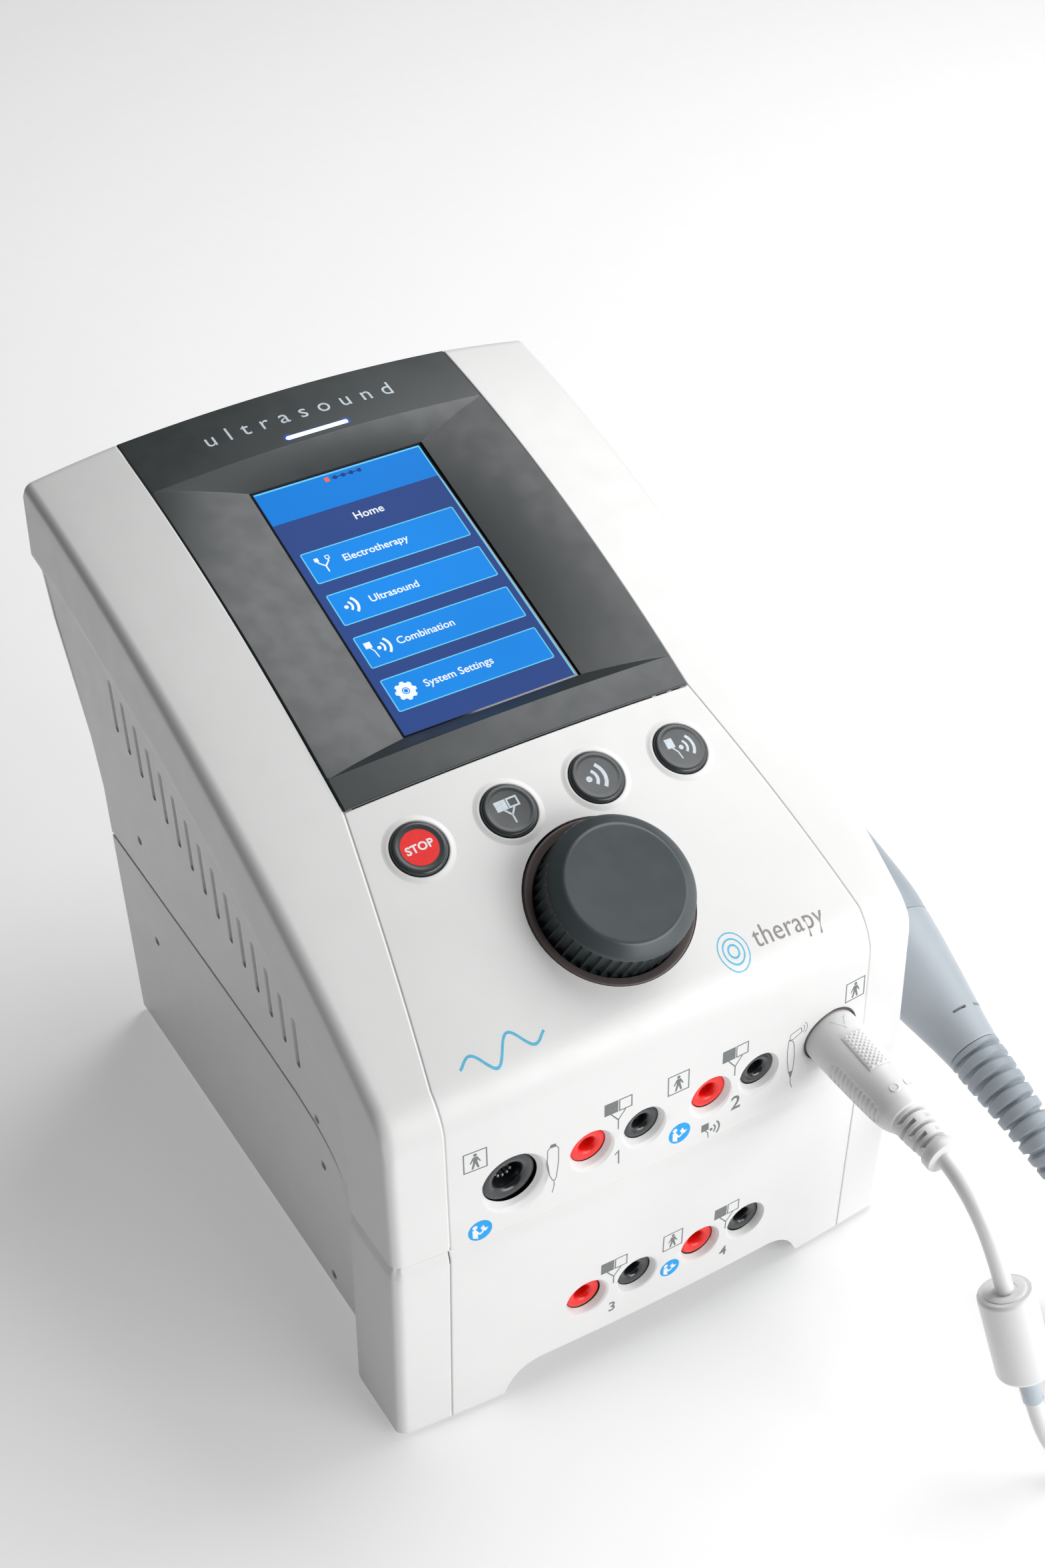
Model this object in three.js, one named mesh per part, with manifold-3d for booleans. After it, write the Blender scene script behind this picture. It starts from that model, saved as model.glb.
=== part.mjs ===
// Ultrasound and electrotherapy console: a two-tier housing with a sloping control panel, and an
// ultrasound applicator on a lead. Units are millimetres. X is to the right, Y to the rear, Z up.
// Inside the console group, x = 0 is the middle of the console, y = 0 is the line between the lower
// unit's front corners, and z = 0 is the underside of the lower unit.
import * as THREE from "three";
import { mergeVertices } from "three/addons/utils/BufferGeometryUtils.js";
import Module from "manifold-3d";

const wasm = await Module();
wasm.setup();

// ---------------------------------------------------------------- driving dimensions

const GAP = 0.3; // clearance between pieces that touch
const WALL = 3; // housing wall
const HALF_WIDTH = 98.3; // of the full-width rim
const FRONT_BOW = 4.6; // how far the front bulges in plan
const FRONT_LEAN = 0.055; // rearward lean of the upper front, per mm of height
const SPLIT = 84; // height of the joint between the two units
const SPLIT_GAP = 0.8;
const FOOT_HEIGHT = 2;
const REAR_LOW = 226; // rear wall below the overhang
const REAR_TOP = 252; // rear edge of the overhang
const OVERHANG_START = 112;
const OVERHANG_RISE = 88;

const TOP_RADIUS = 600; // the top surface is an arc in side view
const TOP_CENTRE_Y = 323.5;
const TOP_CENTRE_Z = -365.7;
const CROWN_FRONT = 4.1; // the crown across the width, at y = 0
const CROWN_GROWTH = 0.0194; // growth of the crown per mm towards the rear
const SHOULDER_RADIUS = 8;
const BROW_RADIUS = 9; // between the front face and the slope

const RIM_HEIGHT = 29; // depth of the full-width rim under the shoulder
const FLANK_BASE = 87.5; // half width of the recessed flank at z = 0
const FLANK_DRAFT = 0.042;
const FLANK_FRONT = 30; // the rim turns down along the front corner
const FLANK_BLEND = 20;

const SEAM_FRONT = 79.2; // half width of the front bezel on the front face
const FASCIA_HALF = 64; // half width of the dark fascia
const FASCIA_FRONT_Y = 87.6;
const FASCIA_SHEET = 3;

const SCREEN = { y: 159.2, z: 210.3, slope: THREE.MathUtils.degToRad(17) };
const WINDOW = { halfX: 33.3, halfV: 55.3 };
const DISH = { top: 67, bottom: -61.5 };

const LED = { v: 70.5, half: 12, height: 1.3 };
const VENTS = { count: 15, first: 73.8, last: 199, low: 105.4, rise: 0.42, half: 1.2, tall: 22 };
const SEAM_LOWER = 32; // the lower front bezel ends here along the flank
const REAR_OPENING = { half: 80, low: 6, high: 76 };

const BUTTON = { radius: 9.7, y: 69.7, below: 6, rim: 12.2, rimHeight: 0.7 };
const BUTTON_X = { stop: -48.4, electro: -16.2, ultrasound: 16.2, combination: 48.4 };
const KNOB = { y: 35.1, radius: 26.9, height: 17, cup: 28.2, shaft: 3 };

const JACK = { ring: 5.6, bore: 2.6, recess: 7.4, depth: 14 };
const JACK_X = { red_a: -30.8, black_a: -11, red_b: 14, black_b: 33.8 };
const ROW_UPPER = 107.5;
const ROW_LOWER = 34.3;
const REMOTE = { x: -57.9, ring: 8.6, bore: 3.4, recess: 11 };
const SOCKET = { x: 64.8, z: 104.6, outer: 13, inner: 11.9, depth: 10 };
const PLUG = { nose: 5.6, length: 42, tip: 60, sag: THREE.MathUtils.degToRad(2.5) };

const CABLE = { diameter: 6, sides: 8 };
const FLOOR = -FOOT_HEIGHT;
const COIL = { x: 139, y: -124, mean: 36, turns: 3.23, layers: 2 };
const FERRITE = { radius: 9.3, start: 6, end: 9 }; // start and end are points of the lead's route

const APPLICATOR = { x: 124, y: -9, z: 72, slope: THREE.MathUtils.degToRad(14) };
const HANDLE = { start: 52, end: 128, radius: 18.4, neck: 14.5 };
const HEAD_TILT = THREE.MathUtils.degToRad(20);

const INLET = { x: 44, z: 41, width: 27.4, height: 20 };
const SWITCH = { x: 12, z: 41, width: 13.4, height: 20.4 };
const FUSE = { x: 44, z: 20.5, width: 22, height: 9 };
const FAN = { x: -38, z: 41, side: 40, depth: 10, hole: 18.4, pitch: 5.2, blades: 7 };
const ROCKER_TILT = THREE.MathUtils.degToRad(8);
const FOOT_PLACES = {
  front_left: [-74, 26],
  front_right: [74, 26],
  rear_left: [-70, 206],
  rear_right: [70, 206],
};

// ---------------------------------------------------------------- helpers

const clamp01 = (value) => Math.min(1, Math.max(0, value));
const mix = (a, b, share) => a + (b - a) * share;

function smooth(value) {
  const t = clamp01(value);
  return t * t * (3 - 2 * t);
}

// A geometry as a manifold solid.
function solid(geometry) {
  const bare = geometry.clone();
  bare.deleteAttribute("normal");
  bare.deleteAttribute("uv");
  const merged = mergeVertices(bare, 1e-4);
  const triVerts = new Uint32Array(merged.index.array);
  const vertProperties = new Float32Array(merged.attributes.position.array);
  return new wasm.Manifold(new wasm.Mesh({ numProp: 3, vertProperties, triVerts }));
}

// A manifold solid as a geometry.
function geometryOf(body) {
  const mesh = body.getMesh();
  const geometry = new THREE.BufferGeometry();
  geometry.setAttribute("position", new THREE.BufferAttribute(mesh.vertProperties, 3));
  geometry.setIndex(new THREE.BufferAttribute(mesh.triVerts, 1));
  geometry.computeVertexNormals();
  return geometry;
}

function cut(geometry, ...tools) {
  return geometryOf(tools.reduce((body, tool) => body.subtract(solid(tool)), solid(geometry)));
}

function join(geometry, ...others) {
  return geometryOf(others.reduce((body, other) => body.add(solid(other)), solid(geometry)));
}

function common(geometry, other) {
  return geometryOf(solid(geometry).intersect(solid(other)));
}

function box(x0, x1, y0, y1, z0, z1) {
  const shape = new THREE.BoxGeometry(x1 - x0, y1 - y0, z1 - z0);
  return shape.translate((x0 + x1) / 2, (y0 + y1) / 2, (z0 + z1) / 2);
}

// A turned piece about +Z: profile points are [radius, height], from bottom to top.
function turned(profile, segments = 16) {
  const points = profile.map(([radius, height]) => new THREE.Vector2(radius, height));
  return new THREE.LatheGeometry(points, segments).rotateX(Math.PI / 2);
}

// A turned piece whose axis points to the front, along -Y: heights grow towards the front.
function turnedForward(profile, segments = 16) {
  return turned(profile, segments).rotateX(Math.PI / 2);
}

// A rectangle with round corners, extruded along Z and centred on the origin in X and Y.
function roundedPlate(width, depth, height, radius, steps = 4) {
  const shape = new THREE.Shape();
  const x = width / 2 - radius;
  const y = depth / 2 - radius;
  shape.absarc(x, y, radius, 0, Math.PI / 2);
  shape.absarc(-x, y, radius, Math.PI / 2, Math.PI);
  shape.absarc(-x, -y, radius, Math.PI, 1.5 * Math.PI);
  shape.absarc(x, -y, radius, 1.5 * Math.PI, 2 * Math.PI);
  return new THREE.ExtrudeGeometry(shape, {
    depth: height,
    bevelEnabled: false,
    curveSegments: steps,
  });
}

// A box whose grid lines lie at the given parameters, with every grid point moved by place(x, y, z).
function warpedBox(xs, ys, zs, place) {
  const geometry = new THREE.BoxGeometry(1, 1, 1, xs.length - 1, ys.length - 1, zs.length - 1);
  const position = geometry.attributes.position;
  const pick = (list, coordinate) => list[Math.round((coordinate + 0.5) * (list.length - 1))];
  const point = new THREE.Vector3();
  for (let i = 0; i < position.count; i += 1) {
    point.fromBufferAttribute(position, i);
    const moved = place(pick(xs, point.x), pick(ys, point.y), pick(zs, point.z));
    position.setXYZ(i, moved[0], moved[1], moved[2]);
  }
  return geometry;
}

function material(color, roughness, metalness = 0) {
  return new THREE.MeshStandardMaterial({ color, roughness, metalness });
}

const FINISH = {
  white: material(0xe9e8e6, 0.45),
  slate: material(0x373e40, 0.4),
  knob: material(0x4b5557, 0.45),
  taupe: material(0x5f5555, 0.5),
  red: material(0xe1231c, 0.35),
  black: material(0x1e2023, 0.35),
  glass: material(0x264890, 0.1),
  light: material(0xbfe0ff, 0.3),
  steel: material(0xb8bcc0, 0.35, 0.9),
  board: material(0x1f5a38, 0.6),
  rubber: material(0x2b2b2d, 0.9),
  greyBlue: material(0x8f9aa3, 0.5),
  cable: material(0xf2f2f1, 0.5),
  label: material(0xaeb9c2, 0.4),
};

function named(name, geometry, finish) {
  const mesh = new THREE.Mesh(geometry, finish);
  mesh.name = name;
  return mesh;
}

// ---------------------------------------------------------------- outer surfaces

const crown = (y) => CROWN_FRONT + CROWN_GROWTH * y;
const bow = (x) => FRONT_BOW * (1 - (x / HALF_WIDTH) ** 2);

// Height of the crowned slope, before the edges are rounded.
function slopeHeight(x, y) {
  const arc = Math.sqrt(TOP_RADIUS ** 2 - (TOP_CENTRE_Y - y) ** 2);
  return TOP_CENTRE_Z + arc + crown(y) * (1 - (x / HALF_WIDTH) ** 2);
}

// Drop of a quarter round of the given radius, at a distance in from the edge.
function roundDrop(inset, radius) {
  const short = Math.max(0, radius - inset);
  return radius - Math.sqrt(radius ** 2 - short ** 2);
}

const creaseHeight = (y) => slopeHeight(HALF_WIDTH, y) - RIM_HEIGHT;
const creaseBlend = (y) => mix(12, 3, clamp01((y - 40) / 180));

function halfWidth(y, z) {
  const above = smooth((z - creaseHeight(y)) / creaseBlend(y) + 1);
  const ahead = smooth((FLANK_FRONT + FLANK_BLEND - y) / FLANK_BLEND);
  return mix(FLANK_BASE + FLANK_DRAFT * z, HALF_WIDTH, Math.max(above, ahead));
}

const frontFace = (x, z) => -bow(x) + FRONT_LEAN * Math.max(0, z - SPLIT);
const rearFace = (z) => REAR_LOW + (REAR_TOP - REAR_LOW) * smooth((z - OVERHANG_START) / OVERHANG_RISE);

// The upper unit's outer shape, moved inwards by inset and open-ended downwards by inset too.
function upperBlock(inset) {
  const round = Math.max(1, SHOULDER_RADIUS - inset);
  const brow = Math.max(1, BROW_RADIUS - inset);
  const edge = HALF_WIDTH - inset;
  const arc = [0, 45, 90].map((a) => edge - round + round * Math.sin((a * Math.PI) / 180));
  const half = [28, 54, 78, ...arc];
  const xs = [...half.map((x) => -x).reverse(), 0, ...half];
  const browArc = [0, 0.13, 0.5, 1].map((share) => inset + brow * share);
  const ys = [...browArc, 20, 30, 37, 43, 50, 88, 128, 170, 212, REAR_TOP - inset];
  const levels = [0, 1, 2, 3, 4, 5];
  const floor = SPLIT + SPLIT_GAP / 2 - (inset > 0 ? 1 : 0);
  return warpedBox(xs, ys, levels, (x, y, level) => {
    const fall = roundDrop(edge - Math.abs(x), round) + roundDrop(y - inset, brow);
    const top = slopeHeight(x, y) - inset - fall;
    const crease = Math.min(creaseHeight(y), slopeHeight(HALF_WIDTH, y) - 2 * round);
    const knee = crease - creaseBlend(y);
    const shoulder = slopeHeight(HALF_WIDTH, y) - inset - round - roundDrop(y - inset, brow);
    const heights = [floor, mix(floor, knee, 0.5), knee, crease, shoulder, top];
    const z = heights[level];
    const wide = (x / edge) * (halfWidth(y, Math.min(z, shoulder)) - inset);
    const ahead = frontFace(wide, z) + inset;
    const behind = rearFace(z) - inset;
    const share = (y - inset) / (REAR_TOP - 2 * inset);
    return [wide, mix(ahead, behind, share), z];
  });
}

// The lower unit's outer shape, moved inwards by inset.
function lowerBlock(inset, floor, ceiling) {
  const half = [25, 50, 75, HALF_WIDTH - inset];
  const xs = [...half.map((x) => -x).reverse(), 0, ...half];
  const ys = [inset, 15, 30, 36, 43, 50, 110, 170, REAR_LOW - inset];
  const zs = [floor, ceiling];
  return warpedBox(xs, ys, zs, (x, y, z) => {
    const wide = (x / (HALF_WIDTH - inset)) * (halfWidth(y, z) - inset);
    const share = (y - inset) / (REAR_LOW - 2 * inset);
    return [wide, mix(-bow(wide) + inset, REAR_LOW - inset, share), z];
  });
}

// ---------------------------------------------------------------- places on the surfaces

// A matrix whose origin lies on the slope at (x, y), with +Z along the outward normal.
function onSlope(x, y, lift = 0) {
  const step = 0.5;
  const dx = (slopeHeight(x + step, y) - slopeHeight(x - step, y)) / (2 * step);
  const dy = (slopeHeight(x, y + step) - slopeHeight(x, y - step)) / (2 * step);
  const normal = new THREE.Vector3(-dx, -dy, 1).normalize();
  const right = new THREE.Vector3(1, 0, dx).normalize();
  const up = normal.clone().cross(right);
  const place = new THREE.Matrix4().makeBasis(right, up, normal);
  const origin = new THREE.Vector3(x, y, slopeHeight(x, y)).addScaledVector(normal, lift);
  return place.setPosition(origin);
}

// A matrix at the screen's middle, with +X right, +Y up the slope and +Z out of the screen.
function onScreen() {
  const turn = new THREE.Matrix4().makeRotationX(SCREEN.slope);
  return turn.setPosition(0, SCREEN.y, SCREEN.z);
}

const placed = (geometry, matrix) => geometry.clone().applyMatrix4(matrix);

function groupAt(matrix, ...children) {
  const group = new THREE.Group();
  matrix.decompose(group.position, group.quaternion, group.scale);
  group.add(...children);
  return group;
}

// Height of the slope above the screen plane, at (x, v) in the screen's own frame.
function slopeOverScreen(x, v) {
  const { y, z, slope } = SCREEN;
  let height = 0;
  for (let pass = 0; pass < 6; pass += 1) {
    const rear = y + v * Math.cos(slope) - height * Math.sin(slope);
    const up = z + v * Math.sin(slope) + height * Math.cos(slope);
    height += (slopeHeight(x, Math.min(rear, REAR_TOP)) - up) * Math.cos(slope);
  }
  return height;
}

// The fascia's face: level with the slope outside the dish, and sinking to the screen's edge inside.
function fasciaHeight(x, v) {
  const side = (Math.abs(x) - WINDOW.halfX) / (FASCIA_HALF - WINDOW.halfX);
  const above = (v - WINDOW.halfV) / (DISH.top - WINDOW.halfV);
  const below = (-WINDOW.halfV - v) / (-WINDOW.halfV - DISH.bottom);
  return slopeOverScreen(x, v) * clamp01(Math.max(side, above, below));
}

// A sheet under the fascia's face, from one depth to another, in the screen's frame.
function fasciaSheet(halfX, front, rear, low, high) {
  const half = [16, WINDOW.halfX, 41, 49, 57, halfX];
  const xs = [...half.map((x) => -x).reverse(), 0, ...half];
  const vs = [front, DISH.bottom, -WINDOW.halfV, -28, 0, 28, WINDOW.halfV, DISH.top, 80, rear];
  return warpedBox(xs, vs, [low, high], (x, v, lift) => [x, v, fasciaHeight(x, v) + lift]);
}

const screenV = (y) => {
  const rise = slopeHeight(0, y) - SCREEN.z;
  return (y - SCREEN.y) * Math.cos(SCREEN.slope) + rise * Math.sin(SCREEN.slope);
};

// The outline between the two seams, seen from above, extruded through everything.
function seamPrism(half, front, rear, top = 300) {
  const shape = new THREE.Shape();
  const brow = half + (SEAM_FRONT - FASCIA_HALF);
  shape.moveTo(-brow, front);
  shape.lineTo(brow, front);
  shape.lineTo(brow, 8);
  shape.lineTo(half, FASCIA_FRONT_Y);
  shape.lineTo(half, rear);
  shape.lineTo(-half, rear);
  shape.lineTo(-half, FASCIA_FRONT_Y);
  shape.lineTo(-brow, 8);
  shape.closePath();
  const prism = new THREE.ExtrudeGeometry(shape, { depth: top, bevelEnabled: false });
  return prism.translate(0, 0, 40);
}

// ---------------------------------------------------------------- housings

function ventSlots(side) {
  const { count, first, last, rise, half, tall } = VENTS;
  const slots = [];
  for (let i = 0; i < count; i += 1) {
    const y = first + (i * (last - first)) / (count - 1);
    const low = VENTS.low + (y - first) * rise;
    const outer = side * (HALF_WIDTH + 6);
    const inner = side * (FLANK_BASE - 7);
    slots.push(box(Math.min(inner, outer), Math.max(inner, outer), y - half, y + half, low, low + tall));
  }
  return slots;
}

function upperHousing() {
  const shell = cut(upperBlock(0), upperBlock(WALL));
  const clearing = placed(
    fasciaSheet(FASCIA_HALF + GAP, screenV(FASCIA_FRONT_Y) - 2, 130, -FASCIA_SHEET - 1.2, 60),
    onScreen(),
  );
  return cut(
    shell,
    seamPrism(FASCIA_HALF + GAP, -30, FASCIA_FRONT_Y + 1),
    clearing,
    ...ventSlots(-1),
    ...ventSlots(1),
  );
}

function frontBezel() {
  const shell = cut(upperBlock(0), upperBlock(WALL));
  const strip = common(shell, seamPrism(FASCIA_HALF - GAP, -30, FASCIA_FRONT_Y - GAP));
  const rims = [];
  const holes = [];
  for (const x of Object.values(BUTTON_X)) {
    const seat = onSlope(x, BUTTON.y);
    const inner = BUTTON.radius + GAP;
    const { rim, rimHeight } = BUTTON;
    rims.push(placed(turned([[0, -2], [rim, -2], [rim - 0.6, rimHeight], [0, rimHeight]]), seat));
    holes.push(placed(turned([[0, -9], [inner, -9], [inner, 4], [0, 4]]), seat));
  }
  const cup = KNOB.cup + GAP;
  holes.push(placed(turned([[0, -16], [cup, -16], [cup, 8], [0, 8]], 32), onSlope(0, KNOB.y)));
  for (const x of Object.values(JACK_X)) {
    holes.push(jackHole(x, ROW_UPPER, JACK.ring, JACK.recess));
  }
  holes.push(jackHole(REMOTE.x, ROW_UPPER, REMOTE.ring, REMOTE.recess));
  holes.push(jackHole(SOCKET.x, SOCKET.z, SOCKET.outer, SOCKET.outer + 0.6));
  return cut(join(strip, ...rims), ...holes);
}

// A through hole for a jack, with a shallow cone in front, at its place on the front face.
function jackHole(x, z, ring, recess) {
  const inner = ring + GAP;
  const face = -frontFace(x, z);
  const cone = [[inner, face - 1.2], [recess, face + 0.2]];
  return turnedForward([[0, -12], [inner, -12], ...cone, [recess, 12], [0, 12]]).translate(x, 0, z);
}

function fingerRecess() {
  const shape = new THREE.Shape();
  shape.moveTo(-62, -5);
  shape.lineTo(62, -5);
  shape.lineTo(60, 2);
  shape.quadraticCurveTo(56, 10.5, 49, 10.5);
  shape.lineTo(-49, 10.5);
  shape.quadraticCurveTo(-56, 10.5, -60, 2);
  shape.closePath();
  const recess = new THREE.ExtrudeGeometry(shape, { depth: 12, bevelEnabled: false, curveSegments: 5 });
  return recess.rotateX(Math.PI / 2).translate(0, 5, 0);
}

function lowerShell() {
  const ceiling = SPLIT - SPLIT_GAP / 2;
  return cut(lowerBlock(0, 0, ceiling), lowerBlock(WALL, -5, ceiling - WALL));
}

function lowerFrontBezel() {
  const front = common(lowerShell(), box(-120, 120, -30, SEAM_LOWER - 0.4, -10, 100));
  const holes = Object.values(JACK_X).map((x) => jackHole(x, ROW_LOWER, JACK.ring, JACK.recess));
  return cut(front, fingerRecess(), ...holes);
}

function lowerHousing() {
  const { half, low, high } = REAR_OPENING;
  const body = common(lowerShell(), box(-120, 120, SEAM_LOWER + 0.4, 260, -10, 100));
  return cut(body, box(-half, half, REAR_LOW - 8, REAR_LOW + 8, low, high));
}

function rearPanel() {
  const half = REAR_OPENING.half - GAP;
  const low = REAR_OPENING.low + GAP;
  const high = REAR_OPENING.high - GAP;
  const plate = box(-half, half, REAR_LOW - 2.6, REAR_LOW - 0.4, low, high);
  const opening = ({ x, z, width, height }) => {
    const w = width / 2 + GAP;
    const h = height / 2 + GAP;
    return box(x - w, x + w, REAR_LOW - 8, REAR_LOW + 8, z - h, z + h);
  };
  const slots = [-3, -2, -1, 0, 1, 2, 3].map((row) => {
    const z = FAN.z + row * FAN.pitch;
    const reach = Math.sqrt(FAN.hole ** 2 - (row * FAN.pitch) ** 2);
    return box(FAN.x - reach, FAN.x + reach, REAR_LOW - 8, REAR_LOW + 8, z - 1.4, z + 1.4);
  });
  return cut(plate, opening(INLET), opening(SWITCH), opening(FUSE), ...slots);
}

function basePlate() {
  const plate = lowerBlock(WALL + GAP, 0.6, 2.6);
  return cut(plate, box(-66, 66, -20, 8, -5, 10));
}

function foot() {
  return turned([[0, FLOOR], [8.2, FLOOR], [9, FLOOR + 0.8], [9, 0.3], [0, 0.3]]);
}

function chassisPlate() {
  return lowerBlock(WALL + 2.4, SPLIT + SPLIT_GAP, SPLIT + SPLIT_GAP + 1.6);
}

// ---------------------------------------------------------------- screen and controls

function screenFascia() {
  const sheet = fasciaSheet(FASCIA_HALF, screenV(FASCIA_FRONT_Y) + 1.2, 94.4, -FASCIA_SHEET, 0);
  const { halfX, halfV } = WINDOW;
  const window = box(-halfX, halfX, -halfV, halfV, -20, 20);
  return cut(sheet, window, box(-12.6, 12.6, LED.v - 1.7, LED.v + 1.7, -20, 30));
}

function ledBar() {
  const face = slopeOverScreen(0, LED.v) + 0.2;
  return box(-LED.half, LED.half, LED.v - LED.height, LED.v + LED.height, face - 3, face);
}

function screenGlass() {
  const { halfX, halfV } = WINDOW;
  return box(-halfX + GAP, halfX - GAP, -halfV + GAP, halfV - GAP, -1.9, -0.6);
}

function lcdModule() {
  const panel = box(-37.5, 37.5, -61, 59, -9.4, -3.9);
  const driver = box(-20, 20, -50, -20, -12, -9);
  return join(panel, driver);
}

function buttonCap() {
  const { radius, below } = BUTTON;
  return turned([[0, -below], [radius, -below], [radius, 0.4], [8.6, 1.1], [5, 1.7], [0, 1.9]], 20);
}

function keypadBoard() {
  const board = box(-62, 62, -11, 11, -11.6, -10);
  const domes = Object.values(BUTTON_X).map((x) =>
    turned([[0, -10.4], [5, -10.4], [3.4, -9.6], [0, -9.6]], 8).translate(x, 0, 0),
  );
  return join(board, ...domes);
}

function knobRing() {
  const { cup, radius, shaft } = KNOB;
  const inner = radius + 0.5;
  const profile = [
    [shaft + 0.5, -6],
    [cup, -6],
    [cup, 0.5],
    [inner, 0.2],
    [inner, -3.4],
    [shaft + 0.5, -3.4],
    [shaft + 0.5, -6],
  ];
  return turned(profile, 32);
}

function controlKnob() {
  const { radius, height } = KNOB;
  const profile = [
    [0, -2.6],
    [radius, -2.6],
    [radius, 1],
    [radius - 0.9, height - 5.5],
    [23.6, height - 1.6],
    [22.9, height - 0.5],
    [20, height],
    [19.4, height - 0.4],
    [0, height - 0.4],
  ];
  return turned(profile, 32);
}

function knobShaft() {
  const { shaft } = KNOB;
  return turned([[0, -17], [shaft, -17], [shaft, -2.9], [0, -2.9]], 16);
}

function encoderBody() {
  const bore = KNOB.shaft + GAP;
  const body = box(-8, 8, -8, 8, -18.2, -9);
  const bush = turned([[0, -9.5], [4.6, -9.5], [4.6, -6.3], [0, -6.3]], 20);
  const board = box(-20, 20, -14, 14, -19.6, -18);
  const hole = turned([[0, -17.6], [bore, -17.6], [bore, 0], [0, 0]], 16);
  return cut(join(body, bush, board), hole);
}

// ---------------------------------------------------------------- jacks and socket

// A jack's insulating ring and barrel. Its face stands a little proud of the recess.
function jack(x, z, ring, bore) {
  const face = -frontFace(x, z);
  const profile = [
    [0, face - JACK.depth],
    [ring - 0.8, face - JACK.depth],
    [ring - 0.8, face - 6],
    [ring, face - 5],
    [ring, face - 0.6],
    [ring - 0.9, face + 0.3],
    [bore + 1.2, face + 0.3],
    [bore, face - 1.2],
    [bore, face - 9],
    [0, face - 9],
  ];
  return turnedForward(profile, 12).translate(x, 0, z);
}

function ultrasoundSocket() {
  const { x, z, outer, inner, depth } = SOCKET;
  const face = -frontFace(x, z);
  const profile = [
    [0, face - depth - 2.4],
    [outer, face - depth - 2.4],
    [outer, face - 0.2],
    [inner, face - 0.2],
    [inner, face - depth],
    [6.8, face - depth],
    [6.8, face - 3],
    [0, face - 3],
  ];
  return turnedForward(profile, 20).translate(x, 0, z);
}

// The plug's shell, hollow at its nose so that it slips over the socket's contacts.
function plugBody() {
  const profile = [
    [0, 1.4],
    [7.5, 1.4],
    [7.5, -PLUG.nose],
    [10.9, -PLUG.nose],
    [11.2, 3],
    [11, 13],
    [10, 25],
    [9.1, 33.4],
    [8.8, 36.5],
    [8.2, PLUG.length - 2.6],
    [7, PLUG.length],
    [0, PLUG.length],
  ];
  return turnedForward(profile, 20);
}

function plugLatch() {
  const pad = roundedPlate(7.2, 13, 1, 2.6).rotateX(0.09);
  return pad.translate(0, -18.4, 11);
}

function plugBoot() {
  const r = CABLE.diameter / 2 + GAP;
  const profile = [
    [0, PLUG.length + GAP],
    [6.4, PLUG.length + GAP],
    [6, 50],
    [5.2, 56.2],
    [6.3, 56.6],
    [6.3, PLUG.tip],
    [r, PLUG.tip],
    [r, PLUG.tip - 3],
    [0, PLUG.tip - 3],
  ];
  return turnedForward(profile, 12);
}

// ---------------------------------------------------------------- lead

const point = (x, y, z) => new THREE.Vector3(x, y, z);
const CABLE_R = CABLE.diameter / 2;
const ON_FLOOR = FLOOR + CABLE_R + 0.1;

// The lead's route from the plug to the coil, chosen by hand.
const LEAD_ROUTE = [
  point(64.8, -57.25, 102.1),
  point(64.85, -62, 101.6),
  point(65.1, -68.8, 99.2),
  point(65.8, -75.6, 94.4),
  point(66.9, -81.8, 87),
  point(68.2, -87, 77.6),
  point(69.4, -91.4, 68),
  point(70.4, -95.6, 58),
  point(71.6, -99.8, 48),
  point(72.8, -104, 38),
  point(74.2, -108.6, 27.6),
  point(76, -113.2, 17.5),
  point(78.4, -116.8, 10.5),
  point(81.5, -121.2, 5.6),
  point(85, -126.3, ON_FLOOR + 1.7),
  point(87.2, -129.4, ON_FLOOR + 0.8),
];

// The route from the coil up to the applicator's boot.
const TAIL_ROUTE = [
  point(173.6, -84.8, ON_FLOOR),
  point(170.4, -77.6, ON_FLOOR + 0.1),
  point(165, -72.2, ON_FLOOR + 1),
  point(158, -69.4, 4.8),
  point(151, -68.6, 10),
  point(144.8, -68.6, 16.8),
  point(139.6, -68.2, 24.6),
  point(135.2, -66.8, 32.6),
  point(131.8, -64.1, 40.2),
  point(129.3, -60.1, 46.7),
  point(128.3, -56.45, 50),
];

const LEAD_STEPS = 26;
const TAIL_STEPS = 16;

function cableTube(route, steps) {
  const section = new THREE.Shape();
  for (let i = 0; i < CABLE.sides; i += 1) {
    const angle = (i * 2 * Math.PI) / CABLE.sides;
    const corner = [CABLE_R * Math.cos(angle), CABLE_R * Math.sin(angle)];
    if (i === 0) section.moveTo(...corner);
    else section.lineTo(...corner);
  }
  section.closePath();
  const extrudePath = new THREE.CatmullRomCurve3(route, false, "centripetal");
  return new THREE.ExtrudeGeometry(section, { steps, extrudePath, bevelEnabled: false });
}

function cableCoil() {
  const spread = (CABLE.diameter * COIL.turns) / 2;
  const outer = COIL.mean + spread + CABLE_R;
  const inner = COIL.mean - spread - CABLE_R;
  const high = FLOOR + COIL.layers * CABLE.diameter;
  const profile = [[inner, FLOOR], [outer, FLOOR], [outer, high], [inner, high], [inner, FLOOR]];
  return turned(profile, 32).translate(COIL.x, COIL.y, 0);
}

// A sleeve round the straight stretch between two points of the lead's route.
function sleeveOnLead(radius, from, to, round) {
  const bore = CABLE_R + 0.5;
  const length = from.distanceTo(to);
  const profile = [
    [bore, 0],
    [radius - round, 0],
    [radius, round],
    [radius, length - round],
    [radius - round, length],
    [bore, length],
    [bore, 0],
  ];
  const shape = turned(profile);
  const turn = new THREE.Quaternion().setFromUnitVectors(
    new THREE.Vector3(0, 0, 1),
    to.clone().sub(from).normalize(),
  );
  return shape.applyQuaternion(turn).translate(from.x, from.y, from.z);
}

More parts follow.
